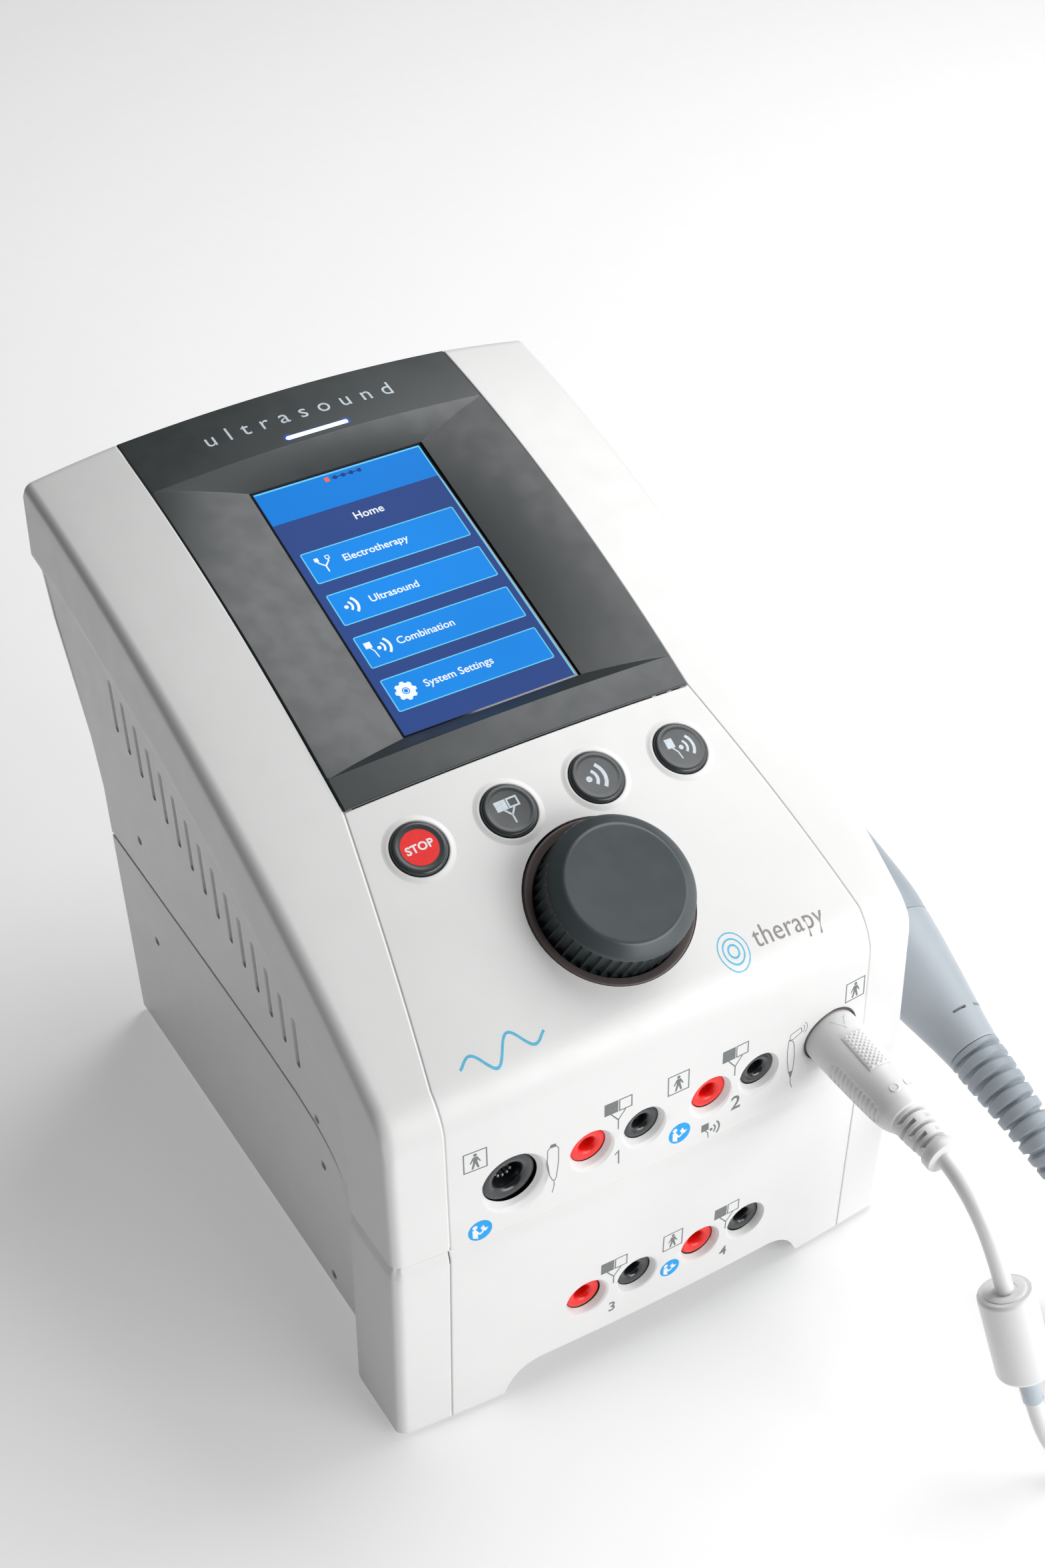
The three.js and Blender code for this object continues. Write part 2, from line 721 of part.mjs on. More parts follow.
// A hook-and-loop strap round the coil's section, at its side away from the console.
function coilTie() {
  const spread = (CABLE.diameter * COIL.turns) / 2 + CABLE_R;
  const width = spread * 2;
  const height = COIL.layers * CABLE.diameter;
  const outer = box(-width / 2 - 2, width / 2 + 1.4, -5, 5, FLOOR, FLOOR + height + 1.4);
  const inner = box(-width / 2 - 1, width / 2 + GAP, -9, 9, FLOOR - 2, FLOOR + height + GAP);
  const angle = THREE.MathUtils.degToRad(-60);
  const x = COIL.x + COIL.mean * Math.cos(angle);
  const y = COIL.y + COIL.mean * Math.sin(angle);
  return cut(outer, inner).rotateZ(angle).translate(x, y, 0);
}

// ---------------------------------------------------------------- applicator and its holder

// The applicator's frame: +Z runs from the tail towards the head, +Y is up, +X is to the right.
function onApplicator() {
  const { x, y, z, slope } = APPLICATOR;
  const along = new THREE.Vector3(0, Math.cos(slope), Math.sin(slope));
  const right = new THREE.Vector3(-1, 0, 0);
  const up = along.clone().cross(right);
  return new THREE.Matrix4().makeBasis(right, up, along).setPosition(x, y, z);
}

function applicatorTail() {
  const profile = [
    [0, 0],
    [9.6, 0],
    [10.7, 8],
    [13.4, 24],
    [15.6, 38],
    [17.2, 50],
    [17.2, HANDLE.start - GAP],
    [0, HANDLE.start - GAP],
  ];
  return turned(profile, 20);
}

function applicatorHandle() {
  const { start, end, radius, neck } = HANDLE;
  const profile = [
    [0, start],
    [16.8, start],
    [radius, start + 18],
    [radius - 0.4, start + 40],
    [16.4, start + 60],
    [neck, end],
    [0, end],
  ];
  return turned(profile, 20);
}

// The head: a short neck that turns towards the disc's face.
function applicatorHead() {
  const neck = turned([[0, 0], [HANDLE.neck, 0], [14, 8], [14, 16], [0, 16]]);
  const disc = turned([[0, -8], [16, -8], [19, -4], [19, 5], [17.6, 6], [0, 6]], 20);
  disc.rotateX(-HEAD_TILT).translate(0, 0, 20);
  return join(neck, disc).translate(0, 0, HANDLE.end + GAP);
}

function applicatorFace() {
  const disc = turned([[0, 6.3], [17, 6.3], [17, 9.2], [16.2, 10], [0, 10]], 20);
  return disc.rotateX(-HEAD_TILT).translate(0, 0, HANDLE.end + GAP + 20);
}

// The ribbed boot that bends from the applicator's tail towards the floor.
const BOOT_ROUTE = [point(0, 0, -GAP), point(0, 0, -22), point(-1.2, -2.6, -38), point(-4.2, -9.6, -51)];

function applicatorBoot() {
  const curve = new THREE.CatmullRomCurve3(BOOT_ROUTE, false, "centripetal");
  const section = new THREE.Shape();
  section.absarc(0, 0, 8.4, 0, 2 * Math.PI);
  return new THREE.ExtrudeGeometry(section, {
    steps: 8,
    extrudePath: curve,
    bevelEnabled: false,
    curveSegments: 6,
  });
}

// A cradle on the right flank: a mounting pad, an arm and a trough open at the top.
function applicatorHolder() {
  const inner = HANDLE.radius + 0.6;
  const outer = inner + 3;
  const shape = new THREE.Shape();
  shape.absarc(0, 0, outer, Math.PI, 2 * Math.PI, false);
  shape.lineTo(inner, 0);
  shape.absarc(0, 0, inner, 2 * Math.PI, Math.PI, true);
  shape.closePath();
  const depth = 34;
  const trough = new THREE.ExtrudeGeometry(shape, { depth, bevelEnabled: false, curveSegments: 10 });
  trough.translate(0, 0, HANDLE.start + 2);
  const arm = box(inner + 1, inner + 16, -14, 0, HANDLE.start + 4, HANDLE.start + 34);
  const cradle = placed(join(trough, arm), onApplicator());
  return cut(cradle, upperBlock(-GAP), box(80, 101, 20, 110, 60, SPLIT + 2));
}

// ---------------------------------------------------------------- rear fittings

function iecInlet() {
  const { x, z, width, height } = INLET;
  const w = width / 2;
  const h = height / 2;
  const body = box(x - w, x + w, REAR_LOW - 26, REAR_LOW + 0.6, z - h, z + h);
  const flange = box(x - 16, x + 16, REAR_LOW - 0.1, REAR_LOW + 2, z - 12, z + 12);
  const well = box(x - 12, x + 12, REAR_LOW - 15, REAR_LOW + 5, z - 8, z + 8);
  const pins = [-7, 0, 7].map((offset) => {
    const lift = offset === 0 ? 3 : -1.5;
    return box(x + offset - 1, x + offset + 1, REAR_LOW - 17, REAR_LOW - 6, z + lift - 2, z + lift + 2);
  });
  return join(cut(join(body, flange), well), ...pins);
}

function switchFrame() {
  const { x, z, width, height } = SWITCH;
  const w = width / 2;
  const h = height / 2;
  const body = box(x - w, x + w, REAR_LOW - 14, REAR_LOW + 0.6, z - h, z + h);
  const flange = box(x - 8, x + 8, REAR_LOW - 0.1, REAR_LOW + 2, z - 11.6, z + 11.6);
  const well = box(x - 5.6, x + 5.6, REAR_LOW - 8, REAR_LOW + 5, z - 9.2, z + 9.2);
  return cut(join(body, flange), well);
}

// The rocker, pivoting about X at the frame's face, drawn in its "on" position.
function switchRocker() {
  const shape = new THREE.Shape();
  shape.moveTo(-8.2, -2);
  shape.lineTo(8.2, -2);
  shape.lineTo(8.4, 3.2);
  shape.quadraticCurveTo(0, 0.6, -8.4, 3.2);
  shape.closePath();
  const rocker = new THREE.ExtrudeGeometry(shape, { depth: 10, bevelEnabled: false, curveSegments: 6 });
  return rocker.translate(0, 0, -5).rotateY(Math.PI / 2);
}

function fuseDrawer() {
  const { x, z, width, height } = FUSE;
  const w = width / 2 - GAP;
  const h = height / 2 - GAP;
  const body = box(x - w, x + w, REAR_LOW - 20, REAR_LOW + 1.6, z - h, z + h);
  const lip = box(x - 5, x + 5, REAR_LOW + 1, REAR_LOW + 3, z - h, z - h + 2);
  const bay = box(x - w + 2, x + w - 2, REAR_LOW - 18, REAR_LOW - 3, z - h + 1.2, z + h + 1);
  return cut(join(body, lip), bay);
}

// A plain disc facing forward, from one y back to a deeper, smaller y.
function disc(radius, rear, thick, segments) {
  const profile = [[0, -rear], [radius, -rear], [radius, thick - rear], [0, thick - rear]];
  return turnedForward(profile, segments);
}

function fanFrame() {
  const { x, z, side, depth } = FAN;
  const rear = REAR_LOW - 2.9;
  const half = side / 2;
  const body = box(-half, half, rear - depth, rear, -half, half);
  const bore = disc(18.6, rear + 1, depth + 2, 20);
  const hub = disc(9, rear - depth + 2.2, 2.2, 12);
  const strut = box(-half, half, rear - depth, rear - depth + 2, -1.5, 1.5);
  return join(cut(body, bore), hub, strut).translate(x, 0, z);
}

function fanRotor() {
  const rear = REAR_LOW - 3.6;
  const blades = [];
  for (let i = 0; i < FAN.blades; i += 1) {
    const blade = new THREE.BoxGeometry(9.4, 5.6, 1.1).rotateX(0.6).translate(13.1, rear - 3.2, 0);
    blades.push(blade.rotateY((i * 2 * Math.PI) / FAN.blades));
  }
  return join(disc(9.2, rear, 6.4, 12), ...blades).translate(FAN.x, 0, FAN.z);
}

// ---------------------------------------------------------------- boards and supply

function ultrasoundBoard() {
  const top = SPLIT + 12;
  const foot = SPLIT + 2.8;
  const legs = [[-60, 50], [60, 50], [-60, 190], [60, 190]].map(([x, y]) =>
    turned([[0, foot], [3, foot], [3, top + 0.4], [0, top + 0.4]], 8).translate(x, y, 0),
  );
  return join(
    box(-70, 70, 40, 200, top, top + 1.6),
    ...legs,
    box(-58, -18, 120, 180, top + 1, top + 26),
    box(10, 46, 60, 96, top + 1, top + 14),
    box(-50, -26, 58, 82, top + 1, top + 20),
    box(16, 40, 130, 176, top + 1, top + 18),
  );
}

// An upright board behind a row of jacks, from low to high, its right edge at the given x.
function outputBoard(low, high, right) {
  return join(
    box(-74, right, 18, 19.6, low, high),
    box(-60, -40, 19, 30, low + 6, low + 24),
    box(-20, 0, 19, 30, low + 8, low + 26),
    box(20, 40, 19, 30, low + 8, low + 26),
  );
}

function mainBoard() {
  return join(
    box(-56, 56, -46, 56, -19, -17.4),
    box(-16, 16, -10, 20, -22, -18),
    box(-50, -34, -40, -10, -24, -18),
    box(26, 50, 20, 44, -25, -18),
    box(-4, 4, -44, -28, -21, -18),
  );
}

function powerSupply() {
  return join(
    box(-76, 20, 60, 180, 6, 10),
    box(-72, -40, 70, 110, 9, 42),
    box(-30, 0, 70, 130, 9, 30),
    box(-72, -44, 120, 172, 9, 34),
    box(-34, 12, 140, 150, 9, 46),
  );
}

// ---------------------------------------------------------------- assembly

function buildConsole() {
  const body = new THREE.Group();
  body.add(
    named("upper_housing", upperHousing(), FINISH.white),
    named("front_bezel", frontBezel(), FINISH.white),
    named("lower_housing", lowerHousing(), FINISH.white),
    named("lower_front_bezel", lowerFrontBezel(), FINISH.white),
    named("chassis_plate", chassisPlate(), FINISH.steel),
    named("base_plate", basePlate(), FINISH.steel),
    named("rear_panel", rearPanel(), FINISH.steel),
  );
  for (const [place, [x, y]] of Object.entries(FOOT_PLACES)) {
    const pad = named(`foot_${place}`, foot(), FINISH.rubber);
    pad.position.set(x, y, 0);
    body.add(pad);
  }
  return body;
}

function buildPanel() {
  const panel = new THREE.Group();
  panel.add(
    groupAt(
      onScreen(),
      named("screen_fascia", screenFascia(), FINISH.slate),
      named("screen_glass", screenGlass(), FINISH.glass),
      named("lcd_module", lcdModule(), FINISH.steel),
      named("status_light_bar", ledBar(), FINISH.light),
      named("main_board", mainBoard(), FINISH.board),
    ),
    groupAt(onSlope(0, BUTTON.y), named("keypad_board", keypadBoard(), FINISH.board)),
    groupAt(
      onSlope(0, KNOB.y),
      named("knob_ring", knobRing(), FINISH.taupe),
      named("control_knob", controlKnob(), FINISH.knob),
      named("knob_shaft", knobShaft(), FINISH.steel),
      named("encoder_body", encoderBody(), FINISH.black),
    ),
  );
  for (const [name, x] of Object.entries(BUTTON_X)) {
    panel.add(groupAt(onSlope(x, BUTTON.y), named(`${name}_button`, buttonCap(), FINISH.slate)));
  }
  return panel;
}

function buildConnectors() {
  const group = new THREE.Group();
  const { red_a: redA, black_a: blackA, red_b: redB, black_b: blackB } = JACK_X;
  const channels = [
    [1, redA, blackA, ROW_UPPER],
    [2, redB, blackB, ROW_UPPER],
    [3, redA, blackA, ROW_LOWER],
    [4, redB, blackB, ROW_LOWER],
  ];
  for (const [channel, red, black, z] of channels) {
    group.add(
      named(`channel_${channel}_red_jack`, jack(red, z, JACK.ring, JACK.bore), FINISH.red),
      named(`channel_${channel}_black_jack`, jack(black, z, JACK.ring, JACK.bore), FINISH.black),
    );
  }
  group.add(
    named("output_board_upper", outputBoard(90, 134, 48), FINISH.board),
    named("output_board_lower", outputBoard(8, 64, 74), FINISH.board),
    named("remote_jack", jack(REMOTE.x, ROW_UPPER, REMOTE.ring, REMOTE.bore), FINISH.black),
    named("ultrasound_socket", ultrasoundSocket(), FINISH.taupe),
    named("ultrasound_board", ultrasoundBoard(), FINISH.board),
    named("power_supply", powerSupply(), FINISH.board),
  );
  return group;
}

function buildRear() {
  const group = new THREE.Group();
  const rocker = named("power_switch_rocker", switchRocker(), FINISH.black);
  rocker.position.set(SWITCH.x, REAR_LOW + 0.4, SWITCH.z);
  rocker.rotation.x = ROCKER_TILT;
  group.add(
    named("iec_inlet", iecInlet(), FINISH.black),
    named("power_switch_frame", switchFrame(), FINISH.black),
    rocker,
    named("fuse_drawer", fuseDrawer(), FINISH.black),
    named("fan_frame", fanFrame(), FINISH.black),
    named("fan_rotor", fanRotor(), FINISH.black),
  );
  return group;
}

function buildLead() {
  const plug = new THREE.Group();
  plug.position.set(SOCKET.x, 0, SOCKET.z);
  plug.rotation.x = PLUG.sag;
  plug.add(
    named("plug_body", plugBody(), FINISH.cable),
    named("plug_latch", plugLatch(), FINISH.cable),
    named("plug_boot", plugBoot(), FINISH.cable),
  );
  const { radius, start, end } = FERRITE;
  const bead = sleeveOnLead(radius, LEAD_ROUTE[start], LEAD_ROUTE[end], 1.5);
  const label = sleeveOnLead(CABLE_R + 1, LEAD_ROUTE[end], LEAD_ROUTE[end + 1], 0.2);
  label.translate(0.1, -0.4, -1);
  const lead = new THREE.Group();
  lead.add(
    plug,
    named("cable_lead", cableTube(LEAD_ROUTE, LEAD_STEPS), FINISH.cable),
    named("ferrite_bead", bead, FINISH.cable),
    named("cable_label", label, FINISH.label),
    named("cable_coil", cableCoil(), FINISH.cable),
    named("coil_tie", coilTie(), FINISH.rubber),
    named("cable_tail", cableTube(TAIL_ROUTE, TAIL_STEPS), FINISH.cable),
    groupAt(
      onApplicator(),
      named("applicator_boot", applicatorBoot(), FINISH.greyBlue),
      named("applicator_tail", applicatorTail(), FINISH.greyBlue),
      named("applicator_handle", applicatorHandle(), FINISH.greyBlue),
      named("applicator_head", applicatorHead(), FINISH.white),
      named("applicator_face", applicatorFace(), FINISH.steel),
    ),
  );
  return lead;
}

// The lead's own pieces don't count where the device stands.
const LEAD_NODES = [
  "plug_body",
  "plug_latch",
  "plug_boot",
  "cable_lead",
  "ferrite_bead",
  "cable_label",
  "cable_coil",
  "coil_tie",
  "cable_tail",
];

// Moves the device so that the middle of its footprint is at the origin.
function standAtOrigin(device) {
  device.updateMatrixWorld(true);
  const extent = new THREE.Box3();
  device.traverse((item) => {
    if (item.isMesh && !LEAD_NODES.includes(item.name)) extent.expandByObject(item, true);
  });
  const centre = extent.getCenter(new THREE.Vector3());
  device.position.set(-centre.x, -centre.y, -extent.min.z);
}

const device = new THREE.Group();
device.add(
  buildConsole(),
  buildPanel(),
  buildConnectors(),
  buildRear(),
  buildLead(),
  named("applicator_holder", applicatorHolder(), FINISH.white),
);
standAtOrigin(device);

export default device;
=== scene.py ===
"""Ultrasound therapy console: its looks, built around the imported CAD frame.

Lengths are millimetres in the console's own frame (x = 0 in its middle, y = 0 at the lower unit's
front corners, z = 0 at its underside) until make_piece() turns them into the frame's metres.
"""

import math

import bmesh
import bpy
import numpy as np
from mathutils import Matrix, Vector
from mathutils.kdtree import KDTree


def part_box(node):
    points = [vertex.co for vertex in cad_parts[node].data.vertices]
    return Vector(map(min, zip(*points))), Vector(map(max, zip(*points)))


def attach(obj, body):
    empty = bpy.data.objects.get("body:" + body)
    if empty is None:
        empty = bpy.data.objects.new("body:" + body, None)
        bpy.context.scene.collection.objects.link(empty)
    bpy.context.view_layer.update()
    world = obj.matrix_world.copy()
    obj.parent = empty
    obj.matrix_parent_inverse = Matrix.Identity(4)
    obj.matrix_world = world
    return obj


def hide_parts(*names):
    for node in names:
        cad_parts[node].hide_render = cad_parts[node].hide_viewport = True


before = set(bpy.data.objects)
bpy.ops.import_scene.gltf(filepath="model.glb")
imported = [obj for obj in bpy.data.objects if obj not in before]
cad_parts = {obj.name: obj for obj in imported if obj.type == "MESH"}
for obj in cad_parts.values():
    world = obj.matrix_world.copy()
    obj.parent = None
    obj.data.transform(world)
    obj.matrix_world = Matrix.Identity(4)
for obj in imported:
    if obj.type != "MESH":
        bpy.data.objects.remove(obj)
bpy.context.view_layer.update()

# ------------------------------------------------------------------ driving dimensions

MM = 0.001
GAP = 0.3
HALF_WIDTH = 98.3
FRONT_BOW = 4.6
FRONT_LEAN = 0.055
SPLIT = 84.0
SPLIT_GAP = 1.2
FOOT_HEIGHT = 2.0
REAR_LOW = 226.0
REAR_TOP = 252.0
TOP_RADIUS = 600.0
TOP_CENTRE_Y = 323.5
TOP_CENTRE_Z = -365.7
SHOULDER_RADIUS = 4.6
BROW_RADIUS = 9.0
CORNER_RADIUS = 3.6
RIM_HEIGHT = 29.0
SEAM_FRONT = 79.2
FASCIA_HALF = 64.0
SEAM_GAP = 0.1
FASCIA_FRONT_Y = 87.6
SCREEN_Y = 159.2
SCREEN_Z = 210.3
SCREEN_SLOPE = math.radians(17)
WINDOW_X = 33.3
WINDOW_V = 55.3
DISH_TOP = 67.0
DISH_BOTTOM = -61.5
BUTTON_Y = 69.7
BUTTON_RADIUS = 9.15
BUTTON_X = {"stop": -48.4, "electro": -16.2, "ultrasound": 16.2, "combination": 48.4}
KNOB_Y = 35.1
JACK_X = {"red_a": -29.3, "black_a": -9.6, "red_b": 16.0, "black_b": 35.3}
ROW_UPPER = 104.0
ROW_LOWER = 32.0
REMOTE_X = -57.1
SOCKET_X = 64.8
SOCKET_Z = 104.6
PLUG_SAG = math.radians(2.5)
CABLE_RADIUS = 3.0
FLOOR = -FOOT_HEIGHT
ON_FLOOR = FLOOR + CABLE_RADIUS + 0.1
COIL_X = 139.0
COIL_Y = -124.0
APPLICATOR_AT = Vector((124.0, -9.0, 72.0))
APPLICATOR_SLOPE = math.radians(14)
WALL = 2.4  # thickness of a moulding
SOFT = 0.5  # round on a moulding's border
BORDER = (0.1, 0.25, 0.45, 0.7)  # grid lines beside a border, from it
BORDER_STEP = 0.2  # spacing of samples along a border
NORMAL_REACH = 0.3  # how far round a point its normal is averaged
LOWER_SEAM_GAP = 0.14
LEAD = "ultrasound_lead"

front_low, front_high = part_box("lower_front_bezel")
foot_low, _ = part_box("foot_front_left")
ORIGIN = Vector((
    (front_low.x + front_high.x) / 2,
    front_low.y + FRONT_BOW * MM,
    foot_low.z + FOOT_HEIGHT * MM,
))


def to_frame(point):
    """A point in console millimetres as a point in the frame's metres."""
    return ORIGIN + Vector(point) * MM


# ------------------------------------------------------------------ camera

CAMERA_AT = (-313.2, -418.3, 668.9)
CAMERA_HEADING = math.radians(31.74)  # from +Y towards +X
CAMERA_PITCH = math.radians(39.71)  # below the horizon
CAMERA_ROLL = math.radians(0.82)
CAMERA_LENS = 55.12


def make_camera():
    """A camera above the front left, looking down across the slope."""
    level = math.cos(CAMERA_PITCH)
    ahead = Vector((
        math.sin(CAMERA_HEADING) * level,
        math.cos(CAMERA_HEADING) * level,
        -math.sin(CAMERA_PITCH),
    ))
    flat = ahead.cross(Vector((0, 0, 1))).normalized()
    above = flat.cross(ahead)
    right = flat * math.cos(CAMERA_ROLL) + above * math.sin(CAMERA_ROLL)
    up = right.cross(ahead)
    data = bpy.data.cameras.new("camera")
    data.lens = CAMERA_LENS
    data.sensor_width = 36.0
    data.clip_start = 0.01
    data.clip_end = 50.0
    camera = bpy.data.objects.new("camera", data)
    bpy.context.scene.collection.objects.link(camera)
    turn = Matrix((right, up, -ahead)).transposed().to_4x4()
    camera.matrix_world = Matrix.Translation(to_frame(CAMERA_AT)) @ turn
    bpy.context.scene.camera = camera


make_camera()

# ------------------------------------------------------------------ materials


def new_material(name):
    """A material with its principled shader."""
    material = bpy.data.materials.new(name)
    material.use_nodes = True
    return material, material.node_tree, material.node_tree.nodes["Principled BSDF"]


def from_object(tree, texture, stretch=None):
    """Lays a texture out in the piece's own metres."""
    place = tree.nodes.new("ShaderNodeTexCoord").outputs["Object"]
    if stretch is not None:
        mapping = tree.nodes.new("ShaderNodeMapping")
        mapping.inputs["Scale"].default_value = stretch
        tree.links.new(place, mapping.inputs["Vector"])
        place = mapping.outputs["Vector"]
    tree.links.new(place, texture.inputs["Vector"])


def noise(tree, scale, detail=2.0, roughness=0.5, stretch=None):
    """The value of a noise texture."""
    texture = tree.nodes.new("ShaderNodeTexNoise")
    texture.inputs["Scale"].default_value = scale
    texture.inputs["Detail"].default_value = detail
    texture.inputs["Roughness"].default_value = roughness
    from_object(tree, texture, stretch)
    return texture.outputs["Fac"]


def vary(tree, shader, socket, source, low, high, start=0.35, end=0.65):
    """Moves a socket from low to high over part of the source's range."""
    node = tree.nodes.new("ShaderNodeValToRGB")
    node.color_ramp.elements[0].position = start
    node.color_ramp.elements[1].position = end
    node.color_ramp.elements[0].color = (*low, 1)
    node.color_ramp.elements[1].color = (*high, 1)
    tree.links.new(source, node.inputs["Fac"])
    tree.links.new(node.outputs["Color"], shader.inputs[socket])


def shade(colour, factor):
    """A colour made lighter or darker."""
    return tuple(min(1.0, c * factor) for c in colour)


def tint(tree, shader, source, colour, darker, lighter, socket="Base Color"):
    """Varies a colour between two multiples of it."""
    vary(tree, shader, socket, source, shade(colour, darker), shade(colour, lighter))


def uneven(tree, shader, source, roughness, smoother, rougher):
    """Varies the roughness between two multiples of it."""
    tint(tree, shader, source, (roughness,) * 3, smoother, rougher, "Roughness")


def bump(tree, shader, source, strength, distance):
    """A relief from the source's height."""
    node = tree.nodes.new("ShaderNodeBump")
    node.inputs["Strength"].default_value = strength
    node.inputs["Distance"].default_value = distance
    tree.links.new(source, node.inputs["Height"])
    tree.links.new(node.outputs["Normal"], shader.inputs["Normal"])


def plastic(name, colour, roughness=0.42, grain=2200.0, depth=0.00002, strength=0.25, spread=0.03):
    """Moulded plastic: a fine eroded grain, faint mottling and a slightly uneven gloss."""
    material, tree, shader = new_material(name)
    tint(tree, shader, noise(tree, 38.0, 4.0, 0.55), colour, 1 - spread, 1 + spread)
    uneven(tree, shader, noise(tree, 120.0, 3.0), roughness, 0.9, 1.12)
    bump(tree, shader, noise(tree, grain, 2.0, 0.6), strength, depth)
    shader.inputs["IOR"].default_value = 1.5
    return material


def glossy(name, colour, roughness=0.18, coat=0.4):
    """Polished moulded plastic with a clear, slightly wavy surface."""
    material, tree, shader = new_material(name)
    tint(tree, shader, noise(tree, 90.0, 3.0), colour, 0.93, 1.05)
    uneven(tree, shader, noise(tree, 160.0, 3.0), roughness, 0.8, 1.4)
    bump(tree, shader, noise(tree, 300.0, 1.0), 0.08, 0.00003)
    shader.inputs["Coat Weight"].default_value = coat
    shader.inputs["Coat Roughness"].default_value = 0.12
    return material


def metal(name, colour, roughness=0.3, stretch=(1.0, 1.0, 40.0), scale=60.0):
    """Worked metal: fine streaks along one direction."""
    material, tree, shader = new_material(name)
    streaks = noise(tree, scale, 4.0, 0.6, stretch)
    tint(tree, shader, streaks, colour, 0.88, 1.06)
    uneven(tree, shader, streaks, roughness, 0.8, 1.3)
    bump(tree, shader, streaks, 0.15, 0.00003)
    shader.inputs["Metallic"].default_value = 1.0
    return material


def lit(name, colour, strength, roughness=0.16, body=1.0):
    """Part of a lit display, seen through its cover glass."""
    material, tree, shader = new_material(name)
    glow = noise(tree, 12.0, 1.0)
    tint(tree, shader, glow, colour, 0.94 * body, 1.06 * body)
    tint(tree, shader, glow, colour, 0.94, 1.06, "Emission Color")
    shader.inputs["Emission Strength"].default_value = strength
    shader.inputs["Specular IOR Level"].default_value = 0.5 if body > 0.4 else 0.06
    shader.inputs["Roughness"].default_value = roughness
    return material


def ink(name, colour, roughness=0.5):
    """Screen-printed ink: slightly uneven in tone."""
    material, tree, shader = new_material(name)
    tint(tree, shader, noise(tree, 900.0, 2.0), colour, 0.93, 1.05)
    shader.inputs["Roughness"].default_value = roughness
    return material


def circuit_board(name):
    """Green solder mask with paler tracks."""
    material, tree, shader = new_material(name)
    brick = tree.nodes.new("ShaderNodeTexBrick")
    brick.inputs["Scale"].default_value = 160.0
    brick.inputs["Mortar Size"].default_value = 0.05
    brick.inputs["Color1"].default_value = (0.015, 0.12, 0.05, 1)
    brick.inputs["Color2"].default_value = (0.02, 0.15, 0.06, 1)
    brick.inputs["Mortar"].default_value = (0.05, 0.26, 0.11, 1)
    from_object(tree, brick)
    tree.links.new(brick.outputs["Color"], shader.inputs["Base Color"])
    shader.inputs["Roughness"].default_value = 0.4
    bump(tree, shader, brick.outputs["Fac"], 0.3, 0.00003)
    return material


def woven(name, colour):
    """Hook-and-loop strap: a coarse felted weave."""
    material, tree, shader = new_material(name)
    loops = tree.nodes.new("ShaderNodeTexVoronoi")
    loops.inputs["Scale"].default_value = 2400.0
    from_object(tree, loops)
    height = loops.outputs["Distance"]
    vary(tree, shader, "Base Color", height, shade(colour, 1.8), shade(colour, 0.6), 0.1, 0.8)
    shader.inputs["Roughness"].default_value = 0.9
    bump(tree, shader, height, 0.8, 0.0003)
    return material


WHITE = plastic("housing_white", (0.80, 0.795, 0.79), 0.36, strength=0.2, spread=0.01)
WHITE_TRIM = plastic("trim_white", (0.80, 0.795, 0.79), 0.4, spread=0.01)
SLATE = plastic("fascia_slate", (0.036, 0.043, 0.045), 0.36, 1800.0, 0.00002, 0.35, 0.015)
KNOB_SLATE = plastic("knob_slate", (0.056, 0.069, 0.073), 0.33, 1600.0, 0.00002, 0.35, 0.02)
RING_TAUPE = plastic("ring_taupe", (0.125, 0.098, 0.096), 0.45, 1600.0, 0.00002, 0.3, 0.05)
BUTTON_SLATE = plastic("button_slate", (0.040, 0.047, 0.050), 0.27, 1500.0, 0.00001, 0.2, 0.05)
RED = glossy("jack_red", (0.86, 0.010, 0.006), 0.3, 0.15)
BLACK = glossy("jack_black", (0.016, 0.018, 0.021), 0.22)
DARK = plastic("black_plastic", (0.018, 0.018, 0.02), 0.45)
SOCKET_TAUPE = plastic("socket_taupe", (0.06, 0.035, 0.033), 0.4)
CABLE_WHITE = plastic("cable_white", (0.83, 0.83, 0.83), 0.36, 900.0, 0.00002, 0.15, 0.015)
PLUG_WHITE = plastic("plug_white", (0.79, 0.79, 0.79), 0.4, 1400.0, 0.00003, 0.3, 0.02)
GREY_BLUE = plastic("applicator_grey", (0.40, 0.44, 0.48), 0.42, 1500.0, 0.00002, 0.3, 0.03)
GREY_BOOT = plastic("boot_grey", (0.33, 0.37, 0.41), 0.45, 1500.0, 0.00002, 0.3, 0.04)
GREY_UPPER = plastic("applicator_upper", (0.33, 0.37, 0.405), 0.42, 1500.0, 0.00002, 0.3, 0.03)
RUBBER = plastic("foot_rubber", (0.03, 0.03, 0.03), 0.8, 700.0, 0.0001, 0.5, 0.1)
GLASS_BLACK = glossy("display_glass", (0.012, 0.014, 0.02), 0.1, 0.8)
STEEL = metal("sheet_steel", (0.60, 0.61, 0.62), 0.35)
ALUMINIUM = metal("transducer_metal", (0.78, 0.79, 0.80), 0.22, (30.0, 1.0, 1.0))
CONTACT = metal("contact_brass", (0.80, 0.60, 0.28), 0.2)
POWDER_GREY = plastic("rear_panel_grey", (0.50, 0.51, 0.52), 0.5, 900.0, 0.00006, 0.5, 0.03)
BOARD = circuit_board("circuit_board")
STRAP = woven("tie_fabric", (0.02, 0.02, 0.02))
LABEL_FILM = plastic("label_film", (0.50, 0.56, 0.62), 0.2, 600.0, 0.00002, 0.2, 0.05)
PRINT_GREY = ink("print_grey", (0.17, 0.185, 0.19))
PRINT_BROWN = ink("print_brown", (0.27, 0.25, 0.235))
PRINT_BLUE = ink("print_blue", (0.0, 0.36, 0.84), 0.55)
PRINT_PALE = ink("print_pale", (0.62, 0.70, 0.76), 0.4)
PRINT_WHITE = ink("print_white", (0.85, 0.87, 0.90), 0.4)
